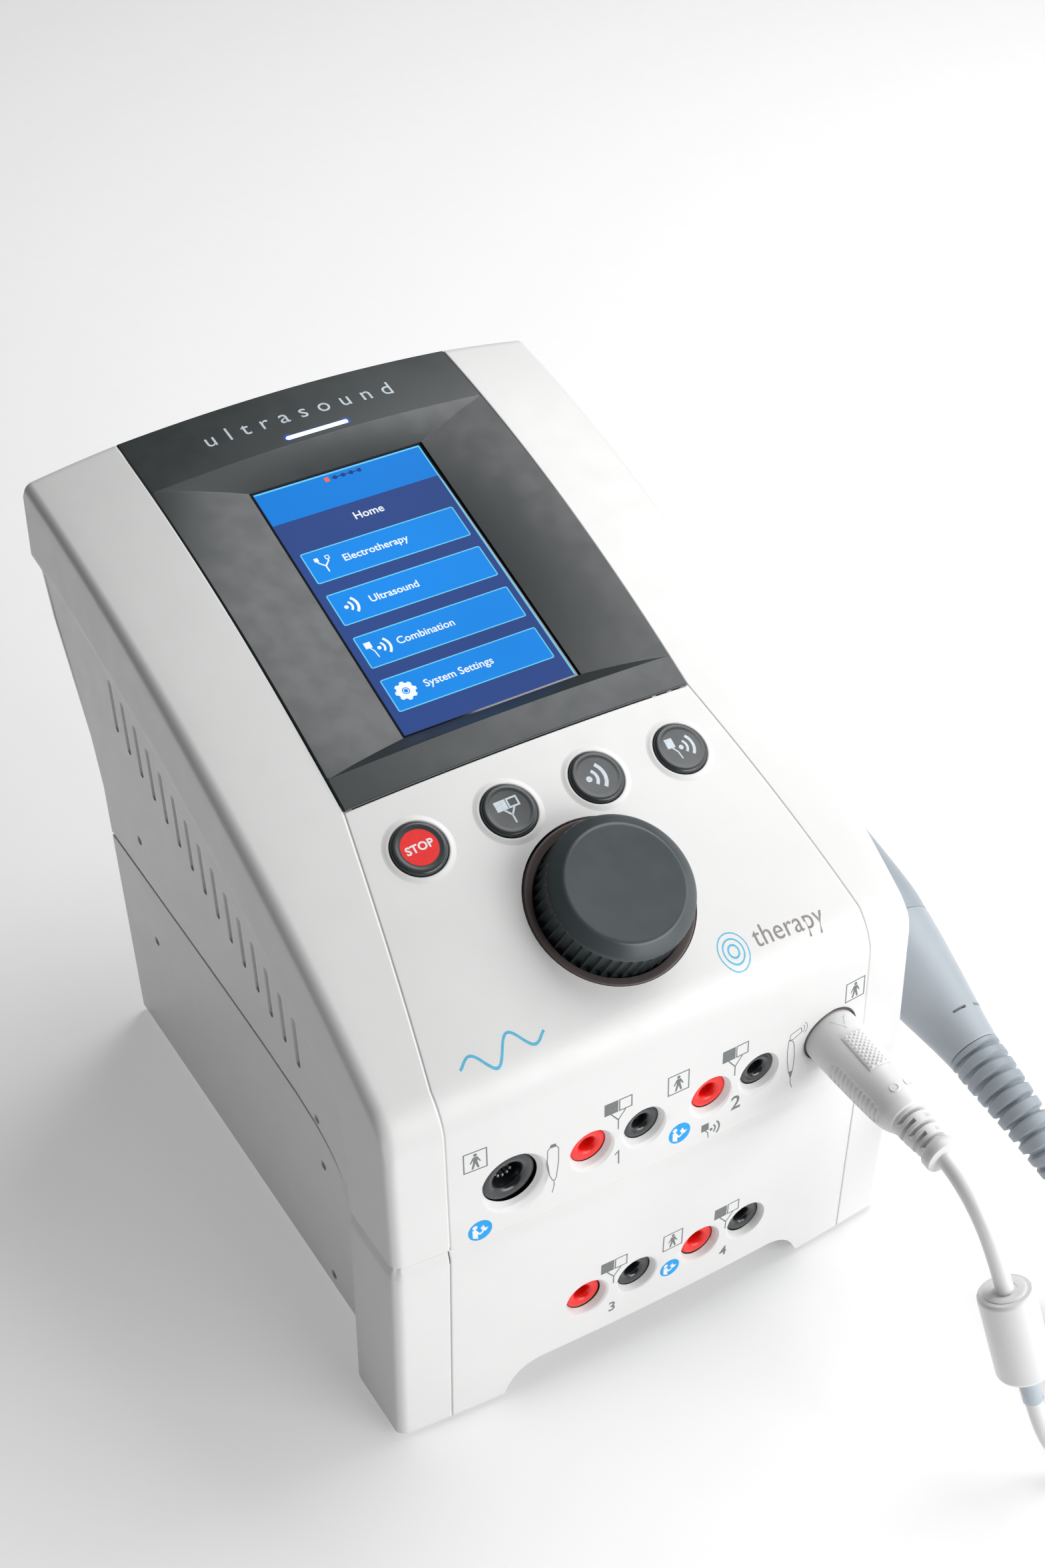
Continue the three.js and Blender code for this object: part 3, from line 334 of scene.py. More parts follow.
PRINT_CYAN = ink("print_cyan", (0.12, 0.50, 0.72), 0.4)
PRINT_RED = ink("print_red", (0.86, 0.010, 0.008), 0.5)
LED_LIGHT = lit("status_light", (0.72, 0.87, 1.0), 1.15)
LED_GLOW = lit("status_glow", (0.0, 0.035, 0.30), 0.9, 0.4, 0.5)
UI_BODY = lit("screen_body", (0.017, 0.058, 0.25), 0.9, 0.2, 0.1)
UI_HEADER = lit("screen_header", (0.0, 0.215, 0.74), 0.97, 0.3, 0.02)
UI_BUTTON = lit("screen_button", (0.0, 0.255, 0.84), 0.97, 0.3, 0.02)
UI_EDGE = lit("screen_outline", (0.14, 0.60, 0.88), 0.95, 0.2, 0.1)
UI_WHITE = lit("screen_white", (0.88, 0.94, 1.0), 0.95, 0.2, 0.1)
UI_ORANGE = lit("screen_orange", (0.95, 0.13, 0.05), 0.95, 0.2, 0.1)
UI_DOT = lit("screen_dot", (0.006, 0.04, 0.22), 0.9, 0.2, 0.1)

# ------------------------------------------------------------------ mesh helpers

def make_piece(name, points, faces, material, body="console", slot=None, replaces=(), sharp=30.0):
    """A smooth-shaded mesh piece from console millimetres, riding on a CAD body."""
    mesh = bpy.data.meshes.new(name)
    mesh.from_pydata([to_frame(p) for p in points], [], faces)
    mesh.validate()
    mesh.materials.append(material)
    piece = bpy.data.objects.new(name, mesh)
    bpy.context.scene.collection.objects.link(piece)
    finish_mesh(mesh, sharp)
    settle(piece, body, replaces)
    return piece


def smooth_shading(mesh, sharp=30.0):
    """Smooth shading over all but the sharp edges."""
    mesh.polygons.foreach_set("use_smooth", [True] * len(mesh.polygons))
    mesh.set_sharp_from_angle(angle=math.radians(sharp))


def finish_mesh(mesh, sharp):
    """Merges double points, turns the faces outwards and smooths all but the sharp edges."""
    work = bmesh.new()
    work.from_mesh(mesh)
    bmesh.ops.remove_doubles(work, verts=work.verts, dist=0.000002)
    bmesh.ops.recalc_face_normals(work, faces=work.faces)
    work.to_mesh(mesh)
    work.free()
    smooth_shading(mesh, sharp)


def settle(piece, body, replaces=()):
    """Says what a piece rides on and the CAD nodes that it stands for."""
    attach(piece, body)
    if replaces:
        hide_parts(*replaces)


def grid_faces(rows, columns, wrap=False):
    """Quads over a grid of points, row by row."""
    span = columns if wrap else columns - 1
    faces = []
    for i in range(rows - 1):
        for j in range(span):
            k = (j + 1) % columns
            faces.append((
                i * columns + j, i * columns + k, (i + 1) * columns + k, (i + 1) * columns + j
            ))
    return faces


def sheet(rows, wrap=False):
    """The points and faces of a surface given as rows of points."""
    return [tuple(p) for row in rows for p in row], grid_faces(len(rows), len(rows[0]), wrap)


def capped(loops):
    """The points and faces of a closed solid through a row of loops, with flat ends."""
    points, faces = sheet(loops, wrap=True)
    count = len(loops[0])
    return points, faces + [tuple(range(count)), tuple(range(len(points) - count, len(points)))]


def curve_between(start, corner, end, steps):
    """A corner rounded from start to end."""
    out = []
    for k in range(steps + 1):
        t = k / steps
        out.append(tuple((1 - t) ** 2 * start + 2 * t * (1 - t) * corner + t * t * end))
    return out


def fillet(points, steps=5):
    """A profile whose corners, given as (r, h, radius), are rounded."""
    out = []
    for i, (*corner, radius) in enumerate(points):
        here = np.array(corner, float)
        if radius <= 0 or i in (0, len(points) - 1):
            out.append(tuple(here))
            continue
        sides = [np.array(points[k][:2], float) - here for k in (i - 1, i + 1)]
        lengths = [np.linalg.norm(s) for s in sides]
        reach = min(radius, lengths[0] * 0.5, lengths[1] * 0.5)
        start, end = (here + s / length * reach for s, length in zip(sides, lengths))
        out.extend(curve_between(start, here, end, steps))
    return out


def lathe(profile, segments=64, reach=None):
    """Points and faces of a turned solid about +Z. reach(radius, height, angles) may shape it."""
    angles = np.linspace(0, 2 * math.pi, segments, endpoint=False)
    points = []
    for radius, height in profile:
        radii = np.full(segments, float(radius))
        if reach is not None:
            radii = reach(radius, height, angles)
        ring = np.stack([radii * np.cos(angles), radii * np.sin(angles)], axis=1)
        points.extend((x, y, height) for x, y in ring)
    return points, grid_faces(len(profile), segments, wrap=True)


def moved(shape, matrix):
    """A (points, faces) shape moved by a matrix whose units are console millimetres."""
    points, faces = shape
    return [matrix @ Vector(p) for p in points], faces


def turned(name, profile, segments, place, *finish, reach=None, **more):
    """A turned piece about the +Z of its place."""
    make_piece(name, *moved(lathe(profile, segments, reach), place), *finish, **more)


def facing_front(x, z):
    """A matrix at the front face whose +Z points forward, +X right and +Y up."""
    turn = Matrix(((1, 0, 0), (0, 0, -1), (0, 1, 0))).to_4x4()
    return Matrix.Translation((x, 0, z)) @ turn


def opened(points, faces):
    """A shape as editable geometry, its double points merged and its faces turned one way."""
    work = bmesh.new()
    made = [work.verts.new(p) for p in points]
    for face in faces:
        if len(set(face)) > 2:
            work.faces.new([made[i] for i in face])
    bmesh.ops.remove_doubles(work, verts=work.verts, dist=0.002)
    bmesh.ops.recalc_face_normals(work, faces=work.faces)
    work.normal_update()
    return work


def closed(work):
    """The points and faces of editable geometry, which is let go."""
    work.verts.index_update()
    made = [tuple(v.co) for v in work.verts], [tuple(v.index for v in f.verts) for f in work.faces]
    work.free()
    return made


def solid_from(points, faces, thickness):
    """A closed shell: the surface's points, the same points moved inwards, and a rim between."""
    work = opened(points, faces)
    work.verts.index_update()
    places = [(v.co.copy(), v.normal.copy()) for v in work.verts]
    inner = [work.verts.new(p - n * thickness) for p, n in places]
    work.verts.ensure_lookup_table()
    rim = [e for e in work.edges if e.is_boundary]
    for face in list(work.faces):
        work.faces.new([inner[v.index] for v in reversed(face.verts)])
    for edge in rim:
        loop = edge.link_loops[0]
        a, b = loop.vert, loop.link_loop_next.vert
        work.faces.new([b, a, inner[a.index], inner[b.index]])
    return closed(work)


def search_tree(places):
    """A tree that finds the nearest of the places."""
    tree = KDTree(len(places))
    for i, place in enumerate(places):
        tree.insert(place, i)
    tree.balance()
    return tree


def soften(points, faces, radius):
    """Rolls a surface's borders inwards by a round of the given radius."""
    work = opened(points, faces)
    border = []
    for edge in work.edges:
        if edge.is_boundary:
            a, b = (v.co for v in edge.verts)
            count = max(2, int((b - a).length / BORDER_STEP))
            border.extend(a.lerp(b, k / count) for k in range(count + 1))
    rim = search_tree(border)
    near = search_tree([v.co for v in work.verts])
    work.verts.ensure_lookup_table()
    shifts = []
    for vertex in work.verts:
        short = max(0.0, radius - rim.find(vertex.co)[2])
        around = near.find_range(vertex.co, NORMAL_REACH) if short else []
        outwards = sum((work.verts[i].normal for _, i, _ in around), Vector()).normalized()
        shifts.append(outwards * -(radius - math.sqrt(radius**2 - short**2)))
    for vertex, shift in zip(work.verts, shifts):
        vertex.co += shift
    return closed(work)


def join_shapes(*shapes):
    """Several (points, faces) shapes as one."""
    points, faces = [], []
    for shape_points, shape_faces in shapes:
        start = len(points)
        points.extend(shape_points)
        faces.extend(tuple(i + start for i in face) for face in shape_faces)
    return points, faces


def cut(piece, *shapes):
    """Cuts closed shapes, given as (points, faces) in console millimetres, out of a piece."""
    points, faces = join_shapes(*shapes)
    mesh = bpy.data.meshes.new("tool")
    mesh.from_pydata([to_frame(p) for p in points], [], faces)
    work = bmesh.new()
    work.from_mesh(mesh)
    bmesh.ops.recalc_face_normals(work, faces=work.faces)
    work.to_mesh(mesh)
    work.free()
    tool = bpy.data.objects.new("tool", mesh)
    bpy.context.scene.collection.objects.link(tool)
    modifier = piece.modifiers.new("cut", "BOOLEAN")
    modifier.operation = "DIFFERENCE"
    modifier.solver = "EXACT"
    modifier.object = tool
    bpy.context.view_layer.update()
    shown = piece.evaluated_get(bpy.context.evaluated_depsgraph_get())
    result = bpy.data.meshes.new_from_object(shown)
    old = piece.data
    piece.modifiers.clear()
    piece.data = result
    result.name = old.name
    bpy.data.meshes.remove(old)
    bpy.data.objects.remove(tool)
    bpy.data.meshes.remove(mesh)
    smooth_shading(result)


def rounded_box(x0, x1, y0, y1, z0, z1, radius, steps=3):
    """A box whose edges are all rounded."""
    centre = np.array([(x0 + x1) / 2, (y0 + y1) / 2, (z0 + z1) / 2])
    half = np.array([(x1 - x0) / 2, (y1 - y0) / 2, (z1 - z0) / 2])
    radius = min(radius, *(half * 0.98))
    work = bmesh.new()
    bmesh.ops.create_cube(work, size=2.0)
    for vertex in work.verts:
        vertex.co = Vector(np.array(vertex.co) * half + centre)
    bmesh.ops.bevel(
        work, geom=list(work.edges), offset=radius, segments=steps, profile=0.5, affect="EDGES"
    )
    return closed(work)

# ------------------------------------------------------------------ the console's outer surfaces


def clamp01(t):
    return min(1.0, max(0.0, t))


def mix(a, b, t):
    return a + (b - a) * t


def smooth(t):
    t = clamp01(t)
    return t * t * (3 - 2 * t)


def along(x, table):
    """Linear interpolation in a short list of (x, value)."""
    return float(np.interp(x, [a for a, _ in table], [b for _, b in table]))


def bow(x):
    """How far the front bulges forward."""
    return FRONT_BOW * (1 - (x / HALF_WIDTH) ** 2)


def slope_height(x, y):
    """The top's height: an arc from front to rear, crowned from side to side."""
    arc = math.sqrt(TOP_RADIUS**2 - (TOP_CENTRE_Y - y) ** 2)
    return TOP_CENTRE_Z + arc + (4.1 + 0.0194 * y) * (1 - (x / HALF_WIDTH) ** 2)


def round_drop(inset, radius):
    """How far a rounded edge falls at a distance inside it."""
    short = max(0.0, radius - inset)
    return radius - math.sqrt(max(0.0, radius**2 - short**2))


def crease_height(y):
    return slope_height(HALF_WIDTH, y) - RIM_HEIGHT


def crease_blend(y):
    return mix(12, 3, clamp01((y - 40) / 180))


def half_width(y, z):
    """Half the width: full above the flank's crease and at the front, less below and behind."""
    above = smooth((z - crease_height(y)) / crease_blend(y) + 1)
    ahead = smooth((50 - y) / 20)
    return mix(87.5 + 0.042 * z, HALF_WIDTH, max(above, ahead))


def front_face(x, z):
    return -bow(x) + FRONT_LEAN * max(0.0, z - SPLIT)


def rear_face(z):
    return REAR_LOW + (REAR_TOP - REAR_LOW) * smooth((z - 112) / 88)


def split_height(y):
    """Height of the line between the two units, which dips behind the front corners."""
    return along(y, [
        (0, SPLIT), (31, SPLIT), (50, 66), (52, 72), (56, 77), (62, 81.5), (72, 85.5), (88, 88),
        (115, 89.6), (150, 90.4), (REAR_LOW, 90.8),
    ])


def corner_round(a, b):
    """Moves a point, a from the side and b from the front, in and back onto the round corner."""
    r = CORNER_RADIUS
    if a >= r or b >= r:
        return 0.0, 0.0

    def bend(d):
        turn = math.pi / 4 * (1 - d / r)
        return r - r * math.sin(turn) - d, r - r * math.cos(turn)

    ea, eb = 1 - a / r, 1 - b / r
    in_row, back_row = bend(a)
    back_column, in_column = bend(b)
    both = (r - r * math.sqrt(0.5)) * ea * eb
    return in_row * eb + in_column * ea - both, back_row * eb + back_column * ea - both


def shoulder_radius(y):
    """The long top edges are rounder in front than at the back."""
    return mix(SHOULDER_RADIUS, 3.2, smooth((y - 60) / 170))


def top_point(x, y):
    """A point of the upper unit's top, edges rounded."""
    inset = HALF_WIDTH - abs(x)
    fall = round_drop(inset, shoulder_radius(y)) + round_drop(y, BROW_RADIUS)
    z = slope_height(x, y) - fall - round_drop(REAR_TOP - y, 3)
    shoulder = slope_height(HALF_WIDTH, y) - shoulder_radius(y) - round_drop(y, BROW_RADIUS)
    wide = x / HALF_WIDTH * half_width(y, min(z, shoulder))
    move_in, back = corner_round(inset, y)
    wide -= math.copysign(move_in, x)
    return wide, mix(front_face(wide, z), rear_face(z), y / REAR_TOP) + back, z


def wall_point(x, y, z):
    """A point of the upright walls: x = ±HALF_WIDTH on a flank, y = 0 in front, REAR_TOP behind."""
    wide = x / HALF_WIDTH * half_width(y, z)
    move_in, back = corner_round(HALF_WIDTH - abs(x), y)
    wide -= math.copysign(move_in, x)
    return wide, mix(front_face(wide, z), rear_face(z), y / REAR_TOP) + back, z


def lower_point(x, y, z):
    """A point of the lower unit's walls, with a shallow soft step under the split line."""
    wide = x / HALF_WIDTH * half_width(y, z)
    move_in, back = corner_round(HALF_WIDTH - abs(x), y)
    step = 1.1 * smooth((z - split_height(y) + 4.3) / 0.9) * smooth((60 - y) / 20)
    beside = smooth((abs(x) - HALF_WIDTH + CORNER_RADIUS) / CORNER_RADIUS)
    before = smooth((CORNER_RADIUS - y) / CORNER_RADIUS)
    wide -= math.copysign(move_in + step * beside, x)
    ahead = mix(-bow(wide), REAR_LOW, y / REAR_TOP) + back
    return wide, ahead + step * before, z


def near_edge(start, end, steps):
    """Values from start to end, packed closely at the ends that get a soft border."""
    sign = 1 if end > start else -1
    inner = np.linspace(start + sign * BORDER[-1], end - sign * BORDER[-1], steps)
    before = [start] + [start + sign * o for o in BORDER[:-1]]
    after = [end - sign * o for o in reversed(BORDER[:-1])] + [end]
    return before + list(inner) + after


def seam_half(y):
    """Half the distance between the two seams beside the front panel."""
    return along(y, [
        (0, SEAM_FRONT), (8, SEAM_FRONT), (FASCIA_FRONT_Y, FASCIA_HALF), (300, FASCIA_HALF),
    ])


BROW_ROWS = [BROW_RADIUS * (1 - math.cos(math.radians(a))) for a in range(0, 90, 9)]


def wall_levels(y, floor):
    """Heights up a flank, from the floor to the rounded shoulder, close together at the crease."""
    top = top_point(HALF_WIDTH, y)[2]
    crease = min(crease_height(y), top - 8)
    knee = max(floor + 3, crease - crease_blend(y))
    crease = max(crease, knee + 2)
    low = near_edge(floor, knee, 6)
    return low[:-4] + list(np.linspace(knee, crease, 9)) + list(np.linspace(crease, top, 9))[1:]


def upper_floor(y):
    return split_height(min(y, REAR_LOW)) + SPLIT_GAP / 2


def shell(*surfaces):
    """A moulding: the surfaces joined, their borders softened, with a wall behind them."""
    return solid_from(*soften(*join_shapes(*surfaces), SOFT), WALL)


def end_wall(xs, y, levels, notch=0.0):
    """An upright wall across an end, with columns that reach up to the rounded top.

    All columns but the first and last end lower by the notch.
    """
    low, high = levels[0], levels[-1]
    columns = []
    for x in xs:
        top = top_point(x, y)[2] - (0.0 if x in (xs[0], xs[-1]) else notch)
        stretch = (top - low) / (high - low)
        columns.append([wall_point(x, y, low + (z - low) * stretch) for z in levels])
    return sheet(columns)


def upper_housing():
    """The top beside the seams and the fascia, both flanks, the front corners and the rear."""
    rows = sorted(BROW_ROWS + [8.0] + list(np.linspace(9, FASCIA_FRONT_Y, 30))
                  + list(np.linspace(FASCIA_FRONT_Y, 248, 52))[1:] + [249.2, 250.4, REAR_TOP])

    def columns(side, y):
        inner = seam_half(y) + SEAM_GAP
        radius = shoulder_radius(y)
        arc = [radius * (1 - math.sin(math.radians(a))) for a in range(0, 91, 10)]
        near = [inner] + [inner + o for o in BORDER]
        spread = list(np.linspace(near[-1], HALF_WIDTH - radius, 6))[1:-1]
        return [side * x for x in near + spread + [HALF_WIDTH - d for d in arc]]

    def flank(side, y):
        return [wall_point(side * HALF_WIDTH, y, z) for z in wall_levels(y, upper_floor(y))]

    rear = wall_levels(REAR_TOP, upper_floor(REAR_TOP))
    shapes = []
    for side in (-1, 1):
        shapes.append(sheet([[top_point(x, y) for x in columns(side, y)] for y in rows]))
        shapes.append(sheet([flank(side, y) for y in rows]))
        shapes.append(end_wall(columns(side, 0), 0, wall_levels(0, upper_floor(0))))
        shapes.append(end_wall(columns(side, REAR_TOP), REAR_TOP, rear))
    limit = FASCIA_HALF + GAP
    shapes.append(end_wall(np.linspace(-limit, limit, 25), REAR_TOP, rear, 6))
    return shell(*shapes)


def front_bezel():
    """The panel between the seams: brow, key field and jack field in one piece."""
    rows = sorted(BROW_ROWS + [8.0] + near_edge(9, FASCIA_FRONT_Y - GAP, 34)[4:])

    def columns(y):
        inner = seam_half(y) - SEAM_GAP
        return near_edge(inner, -inner, 54)

    top = sheet([[top_point(x, y) for x in columns(y)] for y in rows])
    return shell(top, end_wall(columns(0), 0, near_edge(upper_floor(0), 140, 22)))


def lower_wall(places):
    """The lower unit's wall through the given (x, y) places."""
    rows = []
    for x, y in places:
        levels = near_edge(0, split_height(y) - SPLIT_GAP / 2, 30)
        rows.append([lower_point(x, y, z) for z in levels])
    return sheet(rows)


def lower_panel():
    """The lower unit's removable front panel."""
    half = SEAM_FRONT - LOWER_SEAM_GAP
    return shell(lower_wall([(x, 0) for x in near_edge(-half, half, 50)]))


def lower_corner(side):
    """A front corner of the lower unit, from the panel's seam round to the side seam."""
    limit = 31.6 * REAR_TOP / REAR_LOW
    arc = [CORNER_RADIUS * (k / 8) for k in range(9)]
    xs = near_edge(SEAM_FRONT + LOWER_SEAM_GAP, HALF_WIDTH - CORNER_RADIUS - 0.2, 8)[:-3]
    xs += [HALF_WIDTH - a for a in reversed(arc)]
    ys = arc + near_edge(CORNER_RADIUS + 0.8, limit, 12)[4:]
    front = lower_wall([(side * x, 0) for x in xs])
    return shell(front, lower_wall([(side * HALF_WIDTH, y) for y in ys]))


def lower_housing():
    """The lower unit behind the side seams: two flanks and the rear wall."""
    start = 32.5 * REAR_TOP / REAR_LOW
    ys = near_edge(start, REAR_TOP, 66)[:-4] + [REAR_TOP - 0.4, REAR_TOP]
    flanks = [lower_wall([(x, y) for y in ys]) for x in (-HALF_WIDTH, HALF_WIDTH)]
    rear = lower_wall([(x, REAR_TOP) for x in np.linspace(-HALF_WIDTH, HALF_WIDTH, 41)])
    return shell(*flanks, rear)


# ------------------------------------------------------------------ places on the surfaces


def on_height(height, x, y, step):
    """A matrix on a surface height(x, y) whose +Z is its outward normal."""
    dx = (height(x + step, y) - height(x - step, y)) / (2 * step)
    dy = (height(x, y + step) - height(x, y - step)) / (2 * step)
    normal = Vector((-dx, -dy, 1)).normalized()
    right = Vector((1, 0, dx)).normalized()
    turn = Matrix((right, normal.cross(right), normal)).transposed().to_4x4()
    return Matrix.Translation((x, y, height(x, y))) @ turn


def on_slope(x, y):
    """A place on the ideal slope."""
    return on_height(slope_height, x, y, 0.5)


def true_surface(x, y):
    """The upper unit's top at plan position (x, y), before its edges are rounded."""
    t = y
    for _ in range(8):
        z = slope_height(x, t)
        t += y - mix(front_face(x, z), rear_face(z), t / REAR_TOP)
    return slope_height(x, t) - round_drop(t, BROW_RADIUS)


def on_top(x, y):
    """A place on the finished top surface."""
    return on_height(true_surface, x, y, 0.4)


def on_screen():
    turn = Matrix.Rotation(SCREEN_SLOPE, 4, "X")
    return Matrix.Translation((0, SCREEN_Y, SCREEN_Z)) @ turn


def slope_over_screen(x, v):
    """Height of the slope above the screen's plane, at (x, v) in the screen's own frame."""
    height = 0.0
    for _ in range(6):
        rear = SCREEN_Y + v * math.cos(SCREEN_SLOPE) - height * math.sin(SCREEN_SLOPE)
        up = SCREEN_Z + v * math.sin(SCREEN_SLOPE) + height * math.cos(SCREEN_SLOPE)
        height += (slope_height(x, min(rear, REAR_TOP)) - up) * math.cos(SCREEN_SLOPE)
    return height


def jack_cutter(x, z, ring, recess, depth):
    """A through hole with a shallow conical recess and a broken edge in front of it."""
    face = -front_face(x, z)
    inner = ring + 0.14
    profile = [
        (0, face - 14), (inner, face - 14), (inner, face - depth), (recess - 0.55, face - 0.5),
        (recess - 0.2, face - 0.12), (recess + 0.35, face + 0.1), (recess + 2, face + 1.2),
        (0, face + 1.2),
    ]
    return moved(lathe(profile, 56), facing_front(x, z))


def slope_cutter(x, y, radius, depth=16):
    """A hole through the slope with a broken edge."""
    flare = 0.35
    profile = [
        (0, -depth), (radius, -depth), (radius, -flare), (radius + flare, 0.05), (radius + 1.6, 1.4),
        (0, 1.4),
    ]
    return moved(lathe(profile, 72), on_top(x, y))


def vent_cutter(side, index):
    """One louvre: a tall slot with round ends through the flank, flared at the outside."""
    y = mix(73.8, 199, index / 14)
    low = 105.4 + (y - 73.8) * 0.42
    high = low + 22
    ends = ((0.0, high - 1.2), (math.pi, low + 1.2))
    outline = [(start + math.pi * k / 8, end) for start, end in ends for k in range(9)]
    loops = []
    for out, half in ((-8, 1.15), (-1.0, 1.2), (0.1, 1.5), (9, 2.6)):
        loop = []
        for angle, end in outline:
            z = end + math.sin(angle) * half
            loop.append((side * (half_width(y, z) + out), y + math.cos(angle) * half, z))
        loops.append(loop)
    return capped(loops)


SCREWS_UPPER = [(64.3, 89.2), (196.0, 110.0)]
SCREWS_LOWER = [(63.2, 67.2), (65.5, 7.0), (196.0, 60.0)]


def screw_well(side, y, z):
    """A round screw hole in a flank."""
    wall = half_width(y, z)
    turn = Matrix(((0, 0, side), (side, 0, 0), (0, 1, 0))).to_4x4()
    profile = [(0, -6), (1.75, -6), (1.75, -0.3), (2.1, 0.02), (3.4, 1.5), (0, 1.5)]
    return moved(lathe(profile, 32), Matrix.Translation((side * wall, y, z)) @ turn)


def finger_cutter():
    """The arched grip recess in the middle of the lower unit's underside."""
    shape = [(-66, -6), (-60.5, -1.5), (-58.6, 2.0)]
    shape += curve_between(*(np.array(p, float) for p in ((-58.6, 2.0), (-55, 10.9), (-46.5, 11.6))), 8)
    shape += [(-46 + 92 * k / 10, 11.7) for k in range(11)]
    shape += [(-x, z) for x, z in reversed(shape[:12])]
    shape.append((66, -6))
    loops = []
    for y, grow in ((14.0, 0.0), (0.6, 0.0), (-3.2, 0.5), (-5.2, 1.6), (-9.0, 4.0)):
        loops.append([(x * (1 + grow / 60), y, z + grow * 0.7 * (z > 0)) for x, z in shape])
    return capped(loops)


# ------------------------------------------------------------------ cord

LEAD_ROUTE = [
    (64.8, -57.25, 102.1), (64.85, -62, 101.6), (65.1, -68.8, 99.2), (65.8, -75.6, 94.4),
    (66.9, -81.8, 87), (68.2, -87, 77.6), (69.4, -91.4, 68), (70.4, -95.6, 58), (71.6, -99.8, 48),
    (72.8, -104, 38), (74.2, -108.6, 27.6), (76, -113.2, 17.5), (78.4, -116.8, 10.5),
    (81.5, -121.2, 5.6), (85, -126.3, ON_FLOOR + 1.7), (87.2, -129.4, ON_FLOOR + 0.8),
]
TAIL_ROUTE = [
    (173.6, -84.8, ON_FLOOR), (170.4, -77.6, ON_FLOOR + 0.1), (165, -72.2, ON_FLOOR + 1),
    (158, -69.4, 4.8), (151, -68.6, 10), (144.8, -68.6, 16.8), (139.6, -68.2, 24.6),
    (135.2, -66.8, 32.6), (131.8, -64.1, 40.2), (129.3, -60.1, 46.7), (128.3, -56.45, 50),
]


def coil_route():
    """Flat coil in two layers: in over three turns on the floor, then out again on top."""
    turns = 3.23
    outer, inner = 45.75, 26.3
    start = math.radians(215)
    span = turns * 2 * math.pi
    count = 130

    def at(angle, radius, height):
        x, y = COIL_X + radius * math.cos(angle), COIL_Y + radius * math.sin(angle)
        return x, y, ON_FLOOR + height

    points = []
    for k in range(count + 1):
        points.append(at(start + span * k / count, mix(outer, inner, k / count), 0.0))
    for k in range(1, count + 1):
        t = k / count
        lift = smooth(span * t / math.radians(80))
        points.append(at(start + span + span * t, mix(inner, outer, t), 6.15 * lift))
    return points


def rounded_route(points, step=2.0):
    """A smooth path through the points, sampled evenly."""
    p = [np.array(q, float) for q in points]
    p = [2 * p[0] - p[1]] + p + [2 * p[-1] - p[-2]]
    out = []
    for a, b, c, d in zip(p, p[1:], p[2:], p[3:]):
        count = max(1, int(round(np.linalg.norm(c - b) / step)))
        for k in range(count):
            t = k / count
            out.append(tuple(0.5 * (
                2 * b + (c - a) * t + (2 * a - 5 * b + 4 * c - d) * t**2
                + (3 * b - a - 3 * c + d) * t**3
            )))
    out.append(tuple(points[-1]))
    return out


def path_length(points):
    return sum(math.dist(a, b) for a, b in zip(points, points[1:]))


def make_cord():
    """The ultrasound lead: one white cable from the plug's boot to the applicator's boot."""
    down = [(179.6, -101.2, ON_FLOOR + 5.6), (176.7, -92.8, ON_FLOOR + 1.9)]
    route = rounded_route(LEAD_ROUTE + coil_route() + down + TAIL_ROUTE)
    curve = bpy.data.curves.new("cable", "CURVE")
    curve.dimensions = "3D"
    curve.bevel_depth = CABLE_RADIUS * MM
    curve.bevel_resolution = 5
    curve.use_fill_caps = True
    spline = curve.splines.new("POLY")
    spline.points.add(len(route) - 1)
    for point, place in zip(spline.points, route):
        point.co = (*to_frame(place), 1)
    curve.materials.append(CABLE_WHITE)
    cable = bpy.data.objects.new("cable", curve)
    bpy.context.scene.collection.objects.link(cable)
    settle(cable, LEAD, ("cable_lead", "cable_coil", "cable_tail"))
    length = round(path_length(route) * MM, 3)
    return cable, length, to_frame(LEAD_ROUTE[0])


CABLE, CABLE_LENGTH, CABLE_EXIT = make_cord()


def tube(route, radius_at, segments):
    """A closed tube along a route. radius_at(distance, angles) gives each ring's radii."""
    centres = [Vector(p) for p in route]
    travelled = 0.0
    side = Vector((1, 0, 0))
    angles = np.linspace(0, 2 * math.pi, segments, endpoint=False)
    rings = []
    for i, centre in enumerate(centres):
        ahead = (centres[min(i + 1, len(centres) - 1)] - centres[max(i - 1, 0)]).normalized()
        side = (side - ahead * side.dot(ahead)).normalized()
        other = ahead.cross(side)
        if i:
            travelled += (centre - centres[i - 1]).length
        radii = radius_at(travelled, angles)
        rings.append([centre + side * (r * math.cos(a)) + other * (r * math.sin(a))
                      for r, a in zip(radii, angles)])
    return capped(rings)


# ------------------------------------------------------------------ flat prints


def fill(outlines):
    """Points and faces of flat closed outlines; an outline inside another is a hole."""
    curve = bpy.data.curves.new("fill", "CURVE")
    curve.dimensions = "2D"
    curve.fill_mode = "BOTH"
    for outline in outlines:
        spline = curve.splines.new("POLY")
        spline.points.add(len(outline) - 1)
        for point, (x, y) in zip(spline.points, outline):
            point.co = (x, y, 0, 1)
        spline.use_cyclic_u = True
    holder = bpy.data.objects.new("fill", curve)
    mesh = bpy.data.meshes.new_from_object(holder)
    shape = flat_shape(mesh)
    bpy.data.objects.remove(holder)
    bpy.data.curves.remove(curve)
    return shape


def flat_shape(mesh):
    points = [(v.co.x, v.co.y) for v in mesh.vertices]
    faces = [tuple(p.vertices) for p in mesh.polygons]
    bpy.data.meshes.remove(mesh)
    return points, faces


